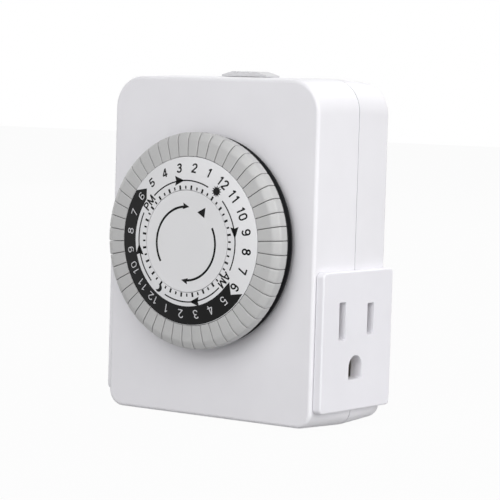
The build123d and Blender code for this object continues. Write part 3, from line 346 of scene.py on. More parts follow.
def brushed(name, tone, roughness, direction=(1.0, 0.06, 1.0)):
    """Metal with fine drawn lines along one direction and soft tarnish."""
    material, tree, shader, place = base_material(name, Metallic=1.0)
    stretch = linked(tree, "ShaderNodeMapping", {"Vector": place})
    stretch.inputs["Scale"].default_value = direction
    lines = linked(tree, "ShaderNodeTexNoise", {"Vector": stretch.outputs["Vector"]})
    lines.inputs["Scale"].default_value = 1 / (0.25 * MM)
    lines.inputs["Detail"].default_value = 4.0
    tarnish = linked(tree, "ShaderNodeTexNoise", {"Vector": place})
    tarnish.inputs["Scale"].default_value = 1 / (6 * MM)
    dull = [value * 0.86 for value in tone]
    tree.links.new(mixed(tree, tarnish.outputs["Fac"], dull, tone), shader.inputs["Base Color"])
    tree.links.new(varied(tree, lines.outputs["Fac"], roughness - 0.06, roughness + 0.1),
                   shader.inputs["Roughness"])
    tree.links.new(bumped(tree, lines.outputs["Fac"], 0.25, 0.004), shader.inputs["Normal"])
    return material


def finish(name):
    """Material of that name, made when it's first asked for."""
    if name not in bpy.data.materials:
        tones = bpy.context.scene.timer_finishes
        makers = {
            "casing_plastic": lambda: moulded(name, tones.casing, 0.44, 0.3, 0.3),
            "outlet_plastic": lambda: moulded(name, tones.outlet, 0.4, 0.25, 0.3),
            "dial_plastic": lambda: moulded(name, tones.dial, 0.4, 0.2, 0.25),
            "pin_plastic": lambda: moulded(name, tones.pins, 0.45, 0.35, 0.25, mottle=0.05),
            "slide_plastic": lambda: moulded(name, tones.slide, 0.4, 0.3, 0.25),
            # Black plastic that is also painted shade for the gap under the pins.
            "carrier_plastic": lambda: moulded(name, tones.carrier, 0.42, 0.3, 0.25, mottle=0.12),
            "inner_plastic": lambda: moulded(name, tones.inner, 0.5, 0.3, 0.3),
            "gear_plastic": lambda: moulded(name, tones.gears, 0.36, 0.15, 0.4),
            "black_ink": lambda: printed(name, tones.ink),
            "pale_ink": lambda: printed(name, tones.knockout),
            "plated_brass": lambda: brushed(name, tones.metal, roughness=0.24),
            "brass_strip": lambda: brushed(name, tones.brass, roughness=0.28),
            "silver_contact": lambda: brushed(name, tones.silver, roughness=0.3),
            "zinc_steel": lambda: brushed(name, tones.steel, roughness=0.34, direction=(1, 1, 1)),
        }
        makers[name]()
    return bpy.data.materials[name]


# ---- Mesh helpers, in millimetres -------------------------------------------------------------
def box_shape(low, high):
    """Box between two corners."""
    shape = bmesh.new()
    bmesh.ops.create_cube(shape, size=1.0)
    size = [high[i] - low[i] for i in range(3)]
    bmesh.ops.scale(shape, vec=size, verts=shape.verts)
    bmesh.ops.translate(shape, vec=[(high[i] + low[i]) / 2 for i in range(3)], verts=shape.verts)
    return shape


def bevel(shape, edges, offset, segments):
    """Rounds edges of a shape."""
    bmesh.ops.bevel(
        shape, geom=edges, offset=offset, offset_type="OFFSET", segments=segments, profile=0.5,
        affect="EDGES", material=-1, clamp_overlap=True,
    )
    return shape


def along(shape, axis):
    """Edges of a shape that run along X, Y or Z (0, 1 or 2)."""
    found = []
    for edge in shape.edges:
        run = edge.verts[0].co - edge.verts[1].co
        if abs(run[axis]) > 0.999 * run.length:
            found.append(edge)
    return found


def at_level(shape, axis, level, reach=1e-3):
    """Edges of a shape that lie in a plane across an axis."""
    return [
        edge for edge in shape.edges
        if all(abs(vert.co[axis] - level) < reach for vert in edge.verts)
    ]


def soften(shape, offset, segments=2, steeper_than=30.0, where=None):
    """Rounds every edge whose faces meet at more than an angle."""
    shape.normal_update()
    edges = [
        edge for edge in shape.edges
        if len(edge.link_faces) == 2 and edge.calc_face_angle(0.0) > radians(steeper_than)
        and (where is None or where(edge))
    ]
    return bevel(shape, edges, offset, segments)


def spun(points, place, steps=96, closed=True):
    """Profile of (radius, y) points turned about the Y axis through place, an (x, z) pair."""
    shape = bmesh.new()
    verts = [shape.verts.new((place[0], y, place[1] + radius)) for radius, y in points]
    pairs = list(zip(verts, verts[1:]))
    if closed:
        pairs.append((verts[-1], verts[0]))
    edges = [shape.edges.new(pair) for pair in pairs]
    bmesh.ops.spin(
        shape, geom=verts + edges, cent=(place[0], 0, place[1]), axis=(0, 1, 0), angle=2 * pi,
        steps=steps, use_merge=True,
    )
    bmesh.ops.remove_doubles(shape, verts=shape.verts, dist=MERGE)
    bmesh.ops.recalc_face_normals(shape, faces=shape.faces)
    return shape


def rod(place, start, end, radius, segments=48):
    """Cylinder along Y between two depths."""
    profile = [(0, start), (radius, start), (radius, end), (0, end)]
    return spun(profile, place, segments, closed=False)


def extruded(outline, start, end):
    """Outline of (x, z) points drawn out along Y between two depths."""
    shape = bmesh.new()
    face = shape.faces.new([shape.verts.new((x, start, z)) for x, z in outline])
    grown = bmesh.ops.extrude_face_region(shape, geom=[face], use_keep_orig=True)["geom"]
    moved = [item for item in grown if isinstance(item, bmesh.types.BMVert)]
    bmesh.ops.translate(shape, vec=(0, end - start, 0), verts=moved)
    bmesh.ops.recalc_face_normals(shape, faces=shape.faces)
    return shape


def joined(*shapes):
    """Several shapes in one, without merging them."""
    whole = bmesh.new()
    for shape in shapes:
        mesh = bpy.data.meshes.new("part")
        shape.to_mesh(mesh)
        shape.free()
        whole.from_mesh(mesh)
        bpy.data.meshes.remove(mesh)
    return whole


def combined(first, second, operation="DIFFERENCE"):
    """Two closed shapes joined, or the first cut by the second."""
    items = []
    for shape in (first, second):
        bmesh.ops.recalc_face_normals(shape, faces=shape.faces)
        mesh = bpy.data.meshes.new("part")
        shape.to_mesh(mesh)
        shape.free()
        item = bpy.data.objects.new("part", mesh)
        bpy.context.scene.collection.objects.link(item)
        items.append(item)
    boolean = items[0].modifiers.new("Boolean", "BOOLEAN")
    boolean.operation = operation
    boolean.solver = "EXACT"
    boolean.object = items[1]
    result = bmesh.new()
    result.from_object(items[0], bpy.context.evaluated_depsgraph_get())
    for item in items:
        mesh = item.data
        bpy.data.objects.remove(item)
        bpy.data.meshes.remove(mesh)
    bmesh.ops.remove_doubles(result, verts=result.verts, dist=MERGE)
    return result


def turned(shape, clockwise):
    """Shape turned clockwise, in degrees, as seen from the front, about the dial's axis."""
    bmesh.ops.rotate(
        shape, cent=(0, 0, DIAL_Z), matrix=Matrix.Rotation(radians(clockwise), 3, "Y"),
        verts=shape.verts,
    )
    return shape


def clock(radius, angle_degrees, x=0.0, z=None):
    """Point on the dial at a radius and an angle clockwise from the top."""
    height = DIAL_Z if z is None else z
    return x + radius * sin(radians(angle_degrees)), height + radius * cos(radians(angle_degrees))


def make_piece(name, shape, material, body, replaces=(), crease=32.0, weighted=True):
    """Turns a shape in millimetres into a finished piece that rides on a body."""
    bmesh.ops.scale(shape, vec=(MM, MM, MM), verts=shape.verts)
    shape.normal_update()
    for face in shape.faces:
        face.smooth = True
    for edge in shape.edges:
        if len(edge.link_faces) == 2 and edge.calc_face_angle(0.0) > radians(crease):
            edge.smooth = False
    mesh = bpy.data.meshes.new(name)
    shape.to_mesh(mesh)
    shape.free()
    mesh.materials.append(finish(material))
    piece = bpy.data.objects.new(name, mesh)
    bpy.context.scene.collection.objects.link(piece)
    if weighted:
        normals = piece.modifiers.new("Even shading", "WEIGHTED_NORMAL")
        normals.keep_sharp = True
    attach(piece, body)
    if replaces:
        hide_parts(*replaces)
    return piece


# ---- Casing -----------------------------------------------------------------------------------
def casing_growth(y, sizes):
    """How far the casing's outline at y stands outside its front face."""
    seam_y = -(sizes.depth - sizes.seam) / MM
    draft = sizes.front_draft if y < seam_y else sizes.rear_draft
    return sizes.seam / MM * tan(sizes.front_draft) - abs(y - seam_y) * tan(draft)


def casing_form(start, end, sizes, inset=0.0, rounded_end=None, radius=0.0, ends=(None, None)):
    """Solid of the casing's outline between two depths, with one end's edge rounded if asked."""
    width, height, top, bottom = mm(sizes, "width", "height", "top_corner", "bottom_corner")
    middle = FRONT_LOW.z + (FRONT_HIGH.z - FRONT_LOW.z) / 2
    shape = box_shape((-width / 2, start, middle - height / 2),
                      (width / 2, end, middle + height / 2))
    corners = along(shape, 1)
    upper = [edge for edge in corners if edge.verts[0].co.z > middle]
    bevel(shape, upper, top, 12)
    lower = [edge for edge in along(shape, 1) if edge.verts[0].co.z < middle - height / 2 + 1e-3]
    bevel(shape, lower, bottom, 8)
    for y, at in zip((start, end), ends):
        grow = casing_growth(y if at is None else at, sizes) - inset
        verts = [vert for vert in shape.verts if abs(vert.co.y - y) < 1e-4]
        bmesh.ops.scale(
            shape, vec=(1 + 2 * grow / width, 1, 1 + 2 * grow / height), verts=verts,
            space=Matrix.Translation((0, 0, -middle)),
        )
    if rounded_end is not None:
        bevel(shape, at_level(shape, 1, rounded_end), radius, 5)
    return shape


def screw_places():
    """Places of the four casing screws, from the CAD's screws."""
    low, high = box_mm("case_screws")
    points = [vert.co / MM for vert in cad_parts["case_screws"].data.vertices]
    lower = [point.x for point in points if point.z < (low.z + high.z) / 2]
    bottom_x = max(lower) - SCREW_HEAD
    return [
        (side * x, z)
        for x, z in ((high.x - SCREW_HEAD, high.z - SCREW_HEAD), (bottom_x, low.z + SCREW_HEAD))
        for side in (-1, 1)
    ]


def outlet_window(sizes, margin):
    """Low and high corner of the casing's cut-out behind the outlet block."""
    rebate = sizes.rebate / MM - margin
    inside, outside = 26.0, 40.0
    low = (inside, OUTLET_LOW.y + rebate, OUTLET_LOW.z + rebate)
    high = (outside, -rebate, OUTLET_HIGH.z - rebate)
    return low, high


def side_windows(sizes):
    """Cutter for the cut-outs in both sides of the casing."""
    clearance = 0.25
    low, high = outlet_window(sizes, clearance)
    left = box_shape((-high[0], low[1], low[2]), (-low[0], high[1], high[2]))
    return joined(box_shape(low, high), left)


def slide_window():
    """Low and high corner of the slide's slot in the top of the casing."""
    half_travel, half_length, half_width, depth = 1.5, 3.8, 1.6, 4
    middle_x = (SLIDE_LOW.x + SLIDE_HIGH.x) / 2 + half_travel
    middle_y = (SLIDE_LOW.y + SLIDE_HIGH.y) / 2
    return (
        (middle_x - half_length, middle_y - half_width, FRONT_HIGH.z - depth),
        (middle_x + half_length, middle_y + half_width, FRONT_HIGH.z + depth),
    )


# What is cut away stands 1 to 3 mm past the surface that it cuts.
class TIMER_OT_casing(bpy.types.Operator):
    """Builds the front and rear casing shells"""

    bl_idname = "timer_switch.casing"
    bl_label = "Casing"

    def execute(self, context):
        sizes = context.scene.timer_casing
        windows = context.scene.timer_outlet
        wall, seam_gap, seam_depth = mm(sizes, "wall", "seam_gap", "seam_depth")
        front = -sizes.depth / MM
        seam = front + sizes.seam / MM
        dial = (0.0, DIAL_Z)
        face = front - sizes.plinth_height / MM
        radius, hub = mm(sizes, "plinth_radius", "hub_hole")
        plinth_edge, plinth_wall = 0.4, 1.6

        shape = casing_form(front, seam - seam_gap / 2, sizes, 0.0, front, sizes.front_edge / MM)
        plinth = rod(dial, face, front + 1, radius, 128)
        soften(plinth, plinth_edge, 3, 60)
        shape = combined(shape, plinth, "UNION")
        shape = combined(shape, casing_form(front + wall, seam + 1, sizes, wall))
        recess = rod(dial, face + plinth_wall, front + 3, radius - plinth_wall, 96)
        shape = combined(shape, recess)
        shape = combined(shape, rod(dial, face - 1, front + 3, hub, 64))
        shape = combined(shape, side_windows(windows))
        shape = combined(shape, box_shape(*slide_window()))
        make_piece("casing_front", shape, "casing_plastic", "casing", ["front_shell"])

        post_radius, well_radius, screw_radius, well_inside = 3.4, 2.7, 1.6, -4
        start = seam + seam_gap / 2
        shape = casing_form(start, 0.0, sizes, 0.0, 0.0, sizes.rear_edge / MM)
        step = casing_form(seam - seam_gap / 2, start + 1, sizes, seam_depth)
        shape = combined(shape, step, "UNION")
        shape = combined(shape, casing_form(seam - 2, -wall, sizes, wall))
        for place in screw_places():
            shape = combined(shape, rod(place, start, -wall / 2, post_radius, 32), "UNION")
        for place in screw_places():
            shape = combined(shape, rod(place, WELL_FLOOR, 1, well_radius, 40))
            shape = combined(shape, rod(place, seam - 1, well_inside, screw_radius, 24))
        for node in ("line_blade", "neutral_blade"):
            low, high = box_mm(node)
            hole = box_shape((low.x - PLUG_GAP, -3, low.z - PLUG_GAP),
                             (high.x + PLUG_GAP, 1, high.z + PLUG_GAP))
            shape = combined(shape, hole)
        low, high = box_mm("ground_pin")
        ground = ((low.x + high.x) / 2, (low.z + high.z) / 2)
        shape = combined(shape, rod(ground, -3, 1, (high.x - low.x) / 2 + PLUG_GAP, 40))
        shape = combined(shape, side_windows(windows))
        shape = combined(shape, box_shape(*slide_window()))
        make_piece("casing_rear", shape, "casing_plastic", "casing", ["rear_shell"])
        return {"FINISHED"}


# ---- Outlet -----------------------------------------------------------------------------------
def slot_cutter(y, z, width, height, lead_in, face, corner=0.35, arch=0.0):
    """Cutter for one slot through the outlet's face, which widens towards the outside."""
    inside = OUTLET_LOW.x - 3
    depth = 3 * lead_in
    shape = box_shape((inside, y - width / 2, z - height / 2),
                      (face - depth, y + width / 2, z + height / 2))
    edges = along(shape, 0)
    if arch:
        upper = [edge for edge in edges if edge.verts[0].co.z > z]
        bevel(shape, upper, arch, 14)
        edges = [edge for edge in along(shape, 0) if edge.verts[0].co.z < z - height / 2 + 1e-3]
    bevel(shape, edges, corner, 3)
    outer = max(shape.faces, key=lambda item: item.calc_center_median().x)
    grown = bmesh.ops.extrude_face_region(shape, geom=[outer])["geom"]
    moved = [item for item in grown if isinstance(item, bmesh.types.BMVert)]
    bmesh.ops.translate(shape, vec=(depth + 0.1, 0, 0), verts=moved)
    bmesh.ops.scale(
        shape, vec=(1, 1 + 2 * lead_in / width, 1 + 2 * lead_in / height), verts=moved,
        space=Matrix.Translation((0, -y, -z)),
    )
    if outer.is_valid:
        bmesh.ops.delete(shape, geom=[outer], context="FACES_ONLY")
    bmesh.ops.recalc_face_normals(shape, faces=shape.faces)
    return shape


def cover_shape(face, sizes, casing):
    """Cover over the right side's cut-out, out to face, with a hollow skirt inside the wall."""
    skirt_start, skirt_depth, skirt_wall, sunk = 29.5, 1.4, 1.2, 0.1
    corner, edge, gap, seat = mm(sizes, "corner", "edge", "gap", "seat")
    front, seam = -casing.depth / MM, -(casing.depth - casing.seam) / MM
    inside = casing.width / MM / 2 - seat
    shape = box_shape((skirt_start, OUTLET_LOW.y, OUTLET_LOW.z), (face, 0.0, OUTLET_HIGH.z))
    bevel(shape, along(shape, 0), corner, 6)
    bevel(shape, at_level(shape, 0, face), edge, 4)
    shape = combined(shape, casing_form(front - 2, seam, casing, -gap, ends=(front, None)))
    shape = combined(shape, casing_form(seam, 0.0, casing, -gap, 0.0, casing.rear_edge / MM))
    low, high = outlet_window(sizes, 0.0)
    inner = box_shape((inside, low[1], low[2]), (face - edge, high[1], high[2]))
    shape = combined(shape, inner, "UNION")
    skirt = box_shape((inside - skirt_depth, low[1], low[2]), (inside + sunk, high[1], high[2]))
    hollow = box_shape((inside - 2, low[1] + skirt_wall, low[2] + skirt_wall),
                       (inside, high[1] - skirt_wall, high[2] - skirt_wall))
    return combined(shape, combined(skirt, hollow), "UNION")


class TIMER_OT_outlet(bpy.types.Operator):
    """Builds the outlet block on the right side and the blank cover on the left side"""

    bl_idname = "timer_switch.outlet"
    bl_label = "Outlet and blank cover"

    def execute(self, context):
        sizes = context.scene.timer_outlet
        casing = context.scene.timer_casing
        front = -casing.depth / MM
        face = OUTLET_HIGH.x
        shape = cover_shape(face, sizes, casing)
        level, middle, spacing, width = mm(sizes, "slot_level", "slot_middle", "slot_spacing",
                                           "slot_width")
        slot_z, slot_y = FRONT_LOW.z + level, front + middle
        lead_in = sizes.lead_in / MM
        neutral, line, drop = mm(sizes, "neutral_length", "line_length", "ground_drop")
        for y, tall in ((slot_y - spacing / 2, neutral), (slot_y + spacing / 2, line)):
            shape = combined(shape, slot_cutter(y, slot_z, width, tall, lead_in, face))
        wide, tall = mm(sizes, "ground_width", "ground_height")
        ground_z = slot_z - drop + (wide - tall) / 2
        arch = wide / 2 - 0.01
        cutter = slot_cutter(slot_y, ground_z, wide, tall, lead_in * 0.7, face, 0.3, arch)
        shape = combined(shape, cutter)
        make_piece("outlet_cover", shape, "outlet_plastic", "casing", ["outlet_block"])

        shape = cover_shape(-BLANK_FACE, sizes, casing)
        bmesh.ops.scale(shape, vec=(-1, 1, 1), verts=shape.verts)
        bmesh.ops.recalc_face_normals(shape, faces=shape.faces)
        make_piece("blank_side_cover", shape, "casing_plastic", "casing", ["blank_cover"])
        return {"FINISHED"}


# ---- Dial -------------------------------------------------------------------------------------
class TIMER_OT_dial(bpy.types.Operator):
    """Builds the printed ring, the centre disc and the black carrier"""

    bl_idname = "timer_switch.dial"
    bl_label = "Dial"

    def execute(self, context):
        sizes = context.scene.timer_dial
        front = -context.scene.timer_casing.depth / MM
        dial = (0.0, DIAL_Z)
        self.ring(sizes, dial)
        self.centre(sizes, dial)
        self.carrier(sizes, dial, front)
        return {"FINISHED"}

    def ring(self, sizes, dial):
        """Ring that carries the printing, its border sloping down to the pins."""
        outer, slope, thick, edge = mm(sizes, "ring_radius", "ring_slope", "ring_thickness",
                                       "ring_edge")
        inner = sum(mm(sizes, "centre_radius", "centre_gap"))
        back, rounding = DIAL_FACE + thick, 0.09
        shape = spun([
            (inner, back), (outer, back), (outer, back - edge), (outer - slope, DIAL_FACE),
            (inner, DIAL_FACE),
        ], dial, 192)
        soften(shape, rounding, 2, 25, lambda edge: edge.verts[0].co.y < back - 0.1)
        make_piece("dial_face_ring", shape, "dial_plastic", "dial", ["dial_ring"])

    def centre(self, sizes, dial):
        """Disc in the middle, which doesn't turn."""
        low, high = box_mm("centre_disc")
        centre, rounding = sizes.centre_radius / MM, 0.1
        profile = [(0, low.y), (centre, low.y), (centre, high.y), (0, high.y)]
        shape = spun(profile, dial, 160, False)
        soften(shape, rounding, 2, 40)
        make_piece("dial_centre", shape, "dial_plastic", "casing", ["centre_disc"])

    def carrier(self, sizes, dial, front):
        """Drum, ribs and rim that guide the pins."""
        low, high = box_mm("dial_carrier")
        rim, rim_gap, drum, rib_gap, rib = mm(sizes, "rim_radius", "rim_gap", "drum_radius",
                                              "rib_gap", "rib_height")
        rim_wall, drum_wall, half_rib, rib_root, sunk = 0.7, 1.6, 0.4, 0.5, 0.1
        top, web, hub_end = low.y, low.y + 1.5, front + 2.8
        hub, bore, spigot = 6.0, 2.55, 4.0
        # The black flange widens the dark crescent beside the pins: painted shade for the gap under
        # them.
        shade_flange, shade_flange_low, shade_flange_high, taper = 0.9, 1.75, 2.0, 0.05
        drum_shape = spun([
            (bore, top), (drum, top), (drum, front - rib_gap), (drum - drum_wall, front - rib_gap),
            (drum - drum_wall, web), (hub, web), (hub, hub_end), (spigot, hub_end),
            (spigot, high.y), (bore, high.y),
        ], dial, 144)
        rim_shape = spun([
            (rim - rim_wall, front - rim_gap), (rim, front - rim_gap),
            (rim, front - (shade_flange_low - taper)), (rim + shade_flange, front - shade_flange_low),
            (rim + shade_flange, front - shade_flange_high), (rim, front - (shade_flange_high + taper)),
            (rim, front - rib_gap - rib), (rim - rim_wall, front - rib_gap - rib),
        ], dial, 192)
        ribs = []
        for number in range(PINS):
            shape = box_shape(
                (-half_rib, front - rib_gap - rib + sunk, DIAL_Z + drum - rib_root),
                (half_rib, front - rib_gap, DIAL_Z + rim - rim_wall / 2),
            )
            ribs.append(turned(shape, degrees(sizes.pin_start) + number * PITCH))
        shape = combined(joined(drum_shape, rim_shape), joined(*ribs), "UNION")
        make_piece("dial_drum", shape, "carrier_plastic", "dial", ["dial_carrier"])


def pin_shape(sizes, front):
    """One pin, from the dial's top over its sector clockwise, with its foot."""
    inner, outer, bend, edge = mm(sizes, "pin_inner", "pin_outer", "pin_bevel", "pin_edge")
    foot_end, rim = mm(sizes, "pin_foot", "rim_radius")
    sector = radians(PITCH) - sizes.pin_gap
    # Heights above the casing's front face, and roundings.
    shoulder, inner_top, bend_top, outer_top, skirt = 6.1, 8.8, 8.5, 7.44, 4.2
    skirt_gap, bend_round, top_round, skirt_round = 0.25, 0.5, 0.55, 0.8
    profile = [
        (inner, shoulder), (inner, inner_top), (bend, bend_top), (outer, outer_top),
        (outer, skirt), (rim + skirt_gap, skirt), (rim + skirt_gap, shoulder),
    ]
    pin = bmesh.new()
    face = pin.faces.new([pin.verts.new((0, front - h, DIAL_Z + r)) for r, h in profile])
    bmesh.ops.spin(
        pin, geom=[face], cent=(0, 0, DIAL_Z), axis=(0, 1, 0), angle=sector, steps=5,
    )
    bmesh.ops.recalc_face_normals(pin, faces=pin.faces)
    bend_edges = [
        item for item in pin.edges
        if all(abs(hypot(v.co.x, v.co.z - DIAL_Z) - bend) < 0.01 for v in item.verts)
    ]
    bevel(pin, bend_edges, bend_round, 3)
    for level, offset in ((outer_top, top_round), (skirt, skirt_round)):
        outer_edges = [
            item for item in at_level(pin, 1, front - level)
            if all(hypot(v.co.x, v.co.z - DIAL_Z) > outer - 0.01 for v in item.verts)
        ]
        bevel(pin, outer_edges, offset, 3)
    soften(pin, edge, 2, 35)
    foot_start, foot_bottom, sunk, side_gap = 21.7, 3.2, 0.5, 0.6
    foot = box_shape((-1.0, front - shoulder - sunk, DIAL_Z + foot_start),
                     (1.0, front - foot_bottom, DIAL_Z + foot_end))
    for vert in foot.verts:
        vert.co.x *= (vert.co.z - DIAL_Z) * tan(radians(PITCH / 2)) - side_gap
    return combined(pin, turned(foot, degrees(sector) / 2), "UNION")


class TIMER_OT_pins(bpy.types.Operator):
    """Builds the forty-eight pins round the dial, two to a piece"""

    bl_idname = "timer_switch.pins"
    bl_label = "Pins"

    def execute(self, context):
        sizes = context.scene.timer_dial
        pin = pin_shape(sizes, -context.scene.timer_casing.depth / MM)
        mesh = bpy.data.meshes.new("pin")
        pin.to_mesh(mesh)
        pin.free()
        start = degrees(sizes.pin_start + sizes.pin_gap / 2)
        for number in range(PINS // 2):
            halves = []
            for place in (2 * number, 2 * number + 1):
                copy = bmesh.new()
                copy.from_mesh(mesh)
                halves.append(turned(copy, start + place * PITCH))
            node = f"hour_pin_{number + 1:02d}"
            make_piece(f"pin_pair_{number + 1:02d}", joined(*halves), "pin_plastic", node, [node],
                       crease=40)
        bpy.data.meshes.remove(mesh)
        return {"FINISHED"}


# ---- Printing ---------------------------------------------------------------------------------
# Each sign is drawn in a box one high. A bar runs between two points; a bow sweeps clockwise about
# its centre between two angles from the top, with its height and width as radii.
SIGNS = {
    "0": (("bow", 0, 0.675, 0.26, 0.26, -90, 90), ("bow", 0, 0.325, 0.26, 0.26, 90, 270),
          ("bar", -0.26, 0.32, -0.26, 0.68), ("bar", 0.26, 0.32, 0.26, 0.68)),
    "1": (("bar", 0.05, 0, 0.05, 1), ("bar", 0.05, 0.94, -0.19, 0.74)),
    "2": (("bow", 0, 0.7, 0.235, 0.26, -85, 122), ("bar", 0.24, 0.6, -0.25, 0.09),
          ("bar", -0.32, 0.065, 0.32, 0.065)),
    "3": (("bow", 0, 0.735, 0.2, 0.235, -75, 180), ("bow", 0, 0.3, 0.235, 0.26, 0, 258),
          ("bar", -0.09, 0.535, 0.05, 0.535)),
    "4": (("bar", 0.13, 0, 0.13, 1), ("bar", -0.33, 0.275, 0.33, 0.275),
          ("bar", 0.1, 0.94, -0.28, 0.3)),
    "5": (("bar", -0.2, 0.935, 0.28, 0.935), ("bar", -0.185, 0.98, -0.245, 0.46),
          ("bow", 0, 0.315, 0.25, 0.26, -62, 252)),
    "6": (("bow", 0.005, 0.31, 0.245, 0.255, 0, 360), ("bar", -0.255, 0.28, -0.255, 0.68),
          ("bow", 0, 0.665, 0.27, 0.255, -90, 62)),
    "7": (("bar", -0.31, 0.935, 0.32, 0.935), ("bar", 0.26, 0.93, -0.09, 0)),
    "8": (("bow", 0, 0.75, 0.185, 0.225, 0, 360), ("bow", 0, 0.3, 0.235, 0.26, 0, 360)),
    "9": (("bow", -0.005, 0.69, 0.245, 0.255, 0, 360), ("bar", 0.255, 0.72, 0.255, 0.32),
          ("bow", 0, 0.335, 0.27, 0.255, 90, 242)),
    "A": (("bar", -0.37, 0, -0.03, 0.98), ("bar", 0.37, 0, 0.03, 0.98),
          ("bar", -0.25, 0.3, 0.25, 0.3)),
    "M": (("bar", -0.4, 0, -0.4, 1), ("bar", 0.4, 0, 0.4, 1), ("bar", -0.38, 0.95, 0, 0.06),
          ("bar", 0.38, 0.95, 0, 0.06)),
    "P": (("bar", -0.25, 0, -0.25, 1), ("bar", -0.25, 0.935, 0.07, 0.935),
          ("bar", -0.25, 0.47, 0.07, 0.47), ("bow", 0.06, 0.7025, 0.2325, 0.24, 0, 180)),
}
ADVANCES = {"A": 0.9, "M": 1.1, "P": 0.9}
DIGIT_ADVANCE = 0.77
# Angle of the first hour number and tick, clockwise from the top.
FIRST_HOUR = 4.9


def raised(shape, thickness):
    """Flat faces on the dial's face drawn out to the thickness of the printing."""
    faces = list(shape.faces)
    grown = bmesh.ops.extrude_face_region(shape, geom=faces, use_keep_orig=True)["geom"]
    moved = [item for item in grown if isinstance(item, bmesh.types.BMVert)]
    bmesh.ops.translate(shape, vec=(0, -thickness, 0), verts=moved)
    bmesh.ops.recalc_face_normals(shape, faces=shape.faces)
    return shape


def patch(points):
    """Flat face through (x, z) points of the dial's face, measured from its axis."""
    shape = bmesh.new()
    shape.faces.new([shape.verts.new((x, DIAL_FACE, DIAL_Z + z)) for x, z in points])
    return shape


def band(inner, outer, start, end, steps):
    """Flat ring sector between two angles clockwise from the top."""
    shape = bmesh.new()
    verts = []
    for radius in (inner, (inner + outer) / 2, outer):
        x, z = clock(radius, start)
        verts.append(shape.verts.new((x, DIAL_FACE, z)))
    edges = [shape.edges.new(pair) for pair in zip(verts, verts[1:])]
    bmesh.ops.spin(
        shape, geom=verts + edges, cent=(0, 0, DIAL_Z), axis=(0, 1, 0), angle=radians(end - start),
        steps=steps,
    )
    bmesh.ops.remove_doubles(shape, verts=shape.verts, dist=MERGE)
    return shape


def bar(x, z, far_x, far_z, weight):
    """Flat straight stroke between two points."""
    run = Vector((far_x - x, far_z - z))
    across = Vector((run.y, -run.x)).normalized() * weight / 2
    return patch([(x + across.x, z + across.y), (far_x + across.x, far_z + across.y),
                  (far_x - across.x, far_z - across.y), (x - across.x, z - across.y)])


def bow(x, z, tall, wide, start, end, weight):
    """Flat curved stroke about a centre, an arc that is widened or narrowed."""
    shape = band(tall - weight / 2, tall + weight / 2, start, end, 20)
    bmesh.ops.scale(shape, vec=(wide / tall, 1, 1), verts=shape.verts)
    bmesh.ops.translate(shape, vec=(x, 0, z), verts=shape.verts)
    return shape


def sign(character, weight, thickness):
    """One digit or letter, a unit high, its foot on the dial's axis."""
    whole = None
    for kind, *places in SIGNS[character]:
        stroke = raised({"bar": bar, "bow": bow}[kind](*places, weight), thickness)
        whole = combined(whole, stroke, "UNION") if whole else stroke
    return whole


def lettering(text, height, weight, thickness, radius, at):
    """Text across the dial at a radius and an angle, its top outwards."""
    advances = [ADVANCES.get(character, DIGIT_ADVANCE) for character in text]
    start = -sum(advances) / 2
    signs = []
    for number, character in enumerate(text):
        shape = sign(character, weight, thickness)
        middle = start + sum(advances[:number]) + advances[number] / 2
        bmesh.ops.translate(shape, vec=(middle, 0, -0.5), verts=shape.verts)
        signs.append(shape)
    shape = joined(*signs)
    bmesh.ops.scale(
        shape, vec=(height, 1, height), verts=shape.verts, space=Matrix.Translation((0, 0, -DIAL_Z))
    )
    bmesh.ops.translate(shape, vec=(0, 0, radius), verts=shape.verts)
    return turned(shape, at)


def divided(shape, step=0.2):
    """Flat shape cut into small faces, so that it can follow the ring's slope."""
    for axis in (0, 2):
        places = [vert.co[axis] for vert in shape.verts]
        across = Vector((axis == 0, 0, axis == 2))
        for number in range(1, int((max(places) - min(places)) / step) + 1):
            bmesh.ops.bisect_plane(
                shape, geom=shape.verts[:] + shape.edges[:] + shape.faces[:],
                plane_co=across * (min(places) + number * step), plane_no=across,
            )
    return shape


def mark(inner, outer, at, wide):
    """Flat radial tick."""
    return turned(bar(0, inner, 0, outer, wide), at)


def arrowhead(radius, at, long, wide, notch=0.12):
    """Flat arrowhead that points clockwise, its tip at the given angle."""
    shape = patch([(0, radius), (-long, radius + wide / 2), (-long * (1 - notch), radius),
                   (-long, radius - wide / 2)])
    return turned(divided(shape), at)


def sun(radius, at, tip, valley, rays=12):
    """Flat star with pointed rays."""
    points = []
    for number in range(rays):
        for reach, shift in ((tip, 0), (valley, 0.5)):
            turn = 2 * pi * (number + shift) / rays
            points.append((reach * sin(turn), radius + reach * cos(turn)))
    return turned(divided(patch(points)), at)


def crescent(radius, at, size, shift, opening):
    """Solid crescent moon, open towards an angle clockwise from the top."""
    place = clock(radius, at)
    disc = rod(place, DIAL_FACE - 1, DIAL_FACE + 1, size, 40)
    x, z = clock(shift, opening, *place)
    bite = rod((x, z), DIAL_FACE - 2, DIAL_FACE + 2, size * 0.82, 40)
    return combined(disc, bite)


def pressed(shape, thickness):
    """Solid cut down to the thickness of the printing."""
    for vert in shape.verts:
        vert.co.y = DIAL_FACE if vert.co.y > DIAL_FACE else DIAL_FACE - thickness
    return shape


def draped(shape, sizes):
    """Printing laid down onto the ring's sloping border."""
    outer, slope, thick, edge = mm(sizes, "ring_radius", "ring_slope", "ring_thickness",
                                   "ring_edge")
    fall = (thick - edge) / slope
    for vert in shape.verts:
        reach = hypot(vert.co.x, vert.co.z - DIAL_Z)
        vert.co.y += fall * max(0.0, reach - outer + slope)
    return shape


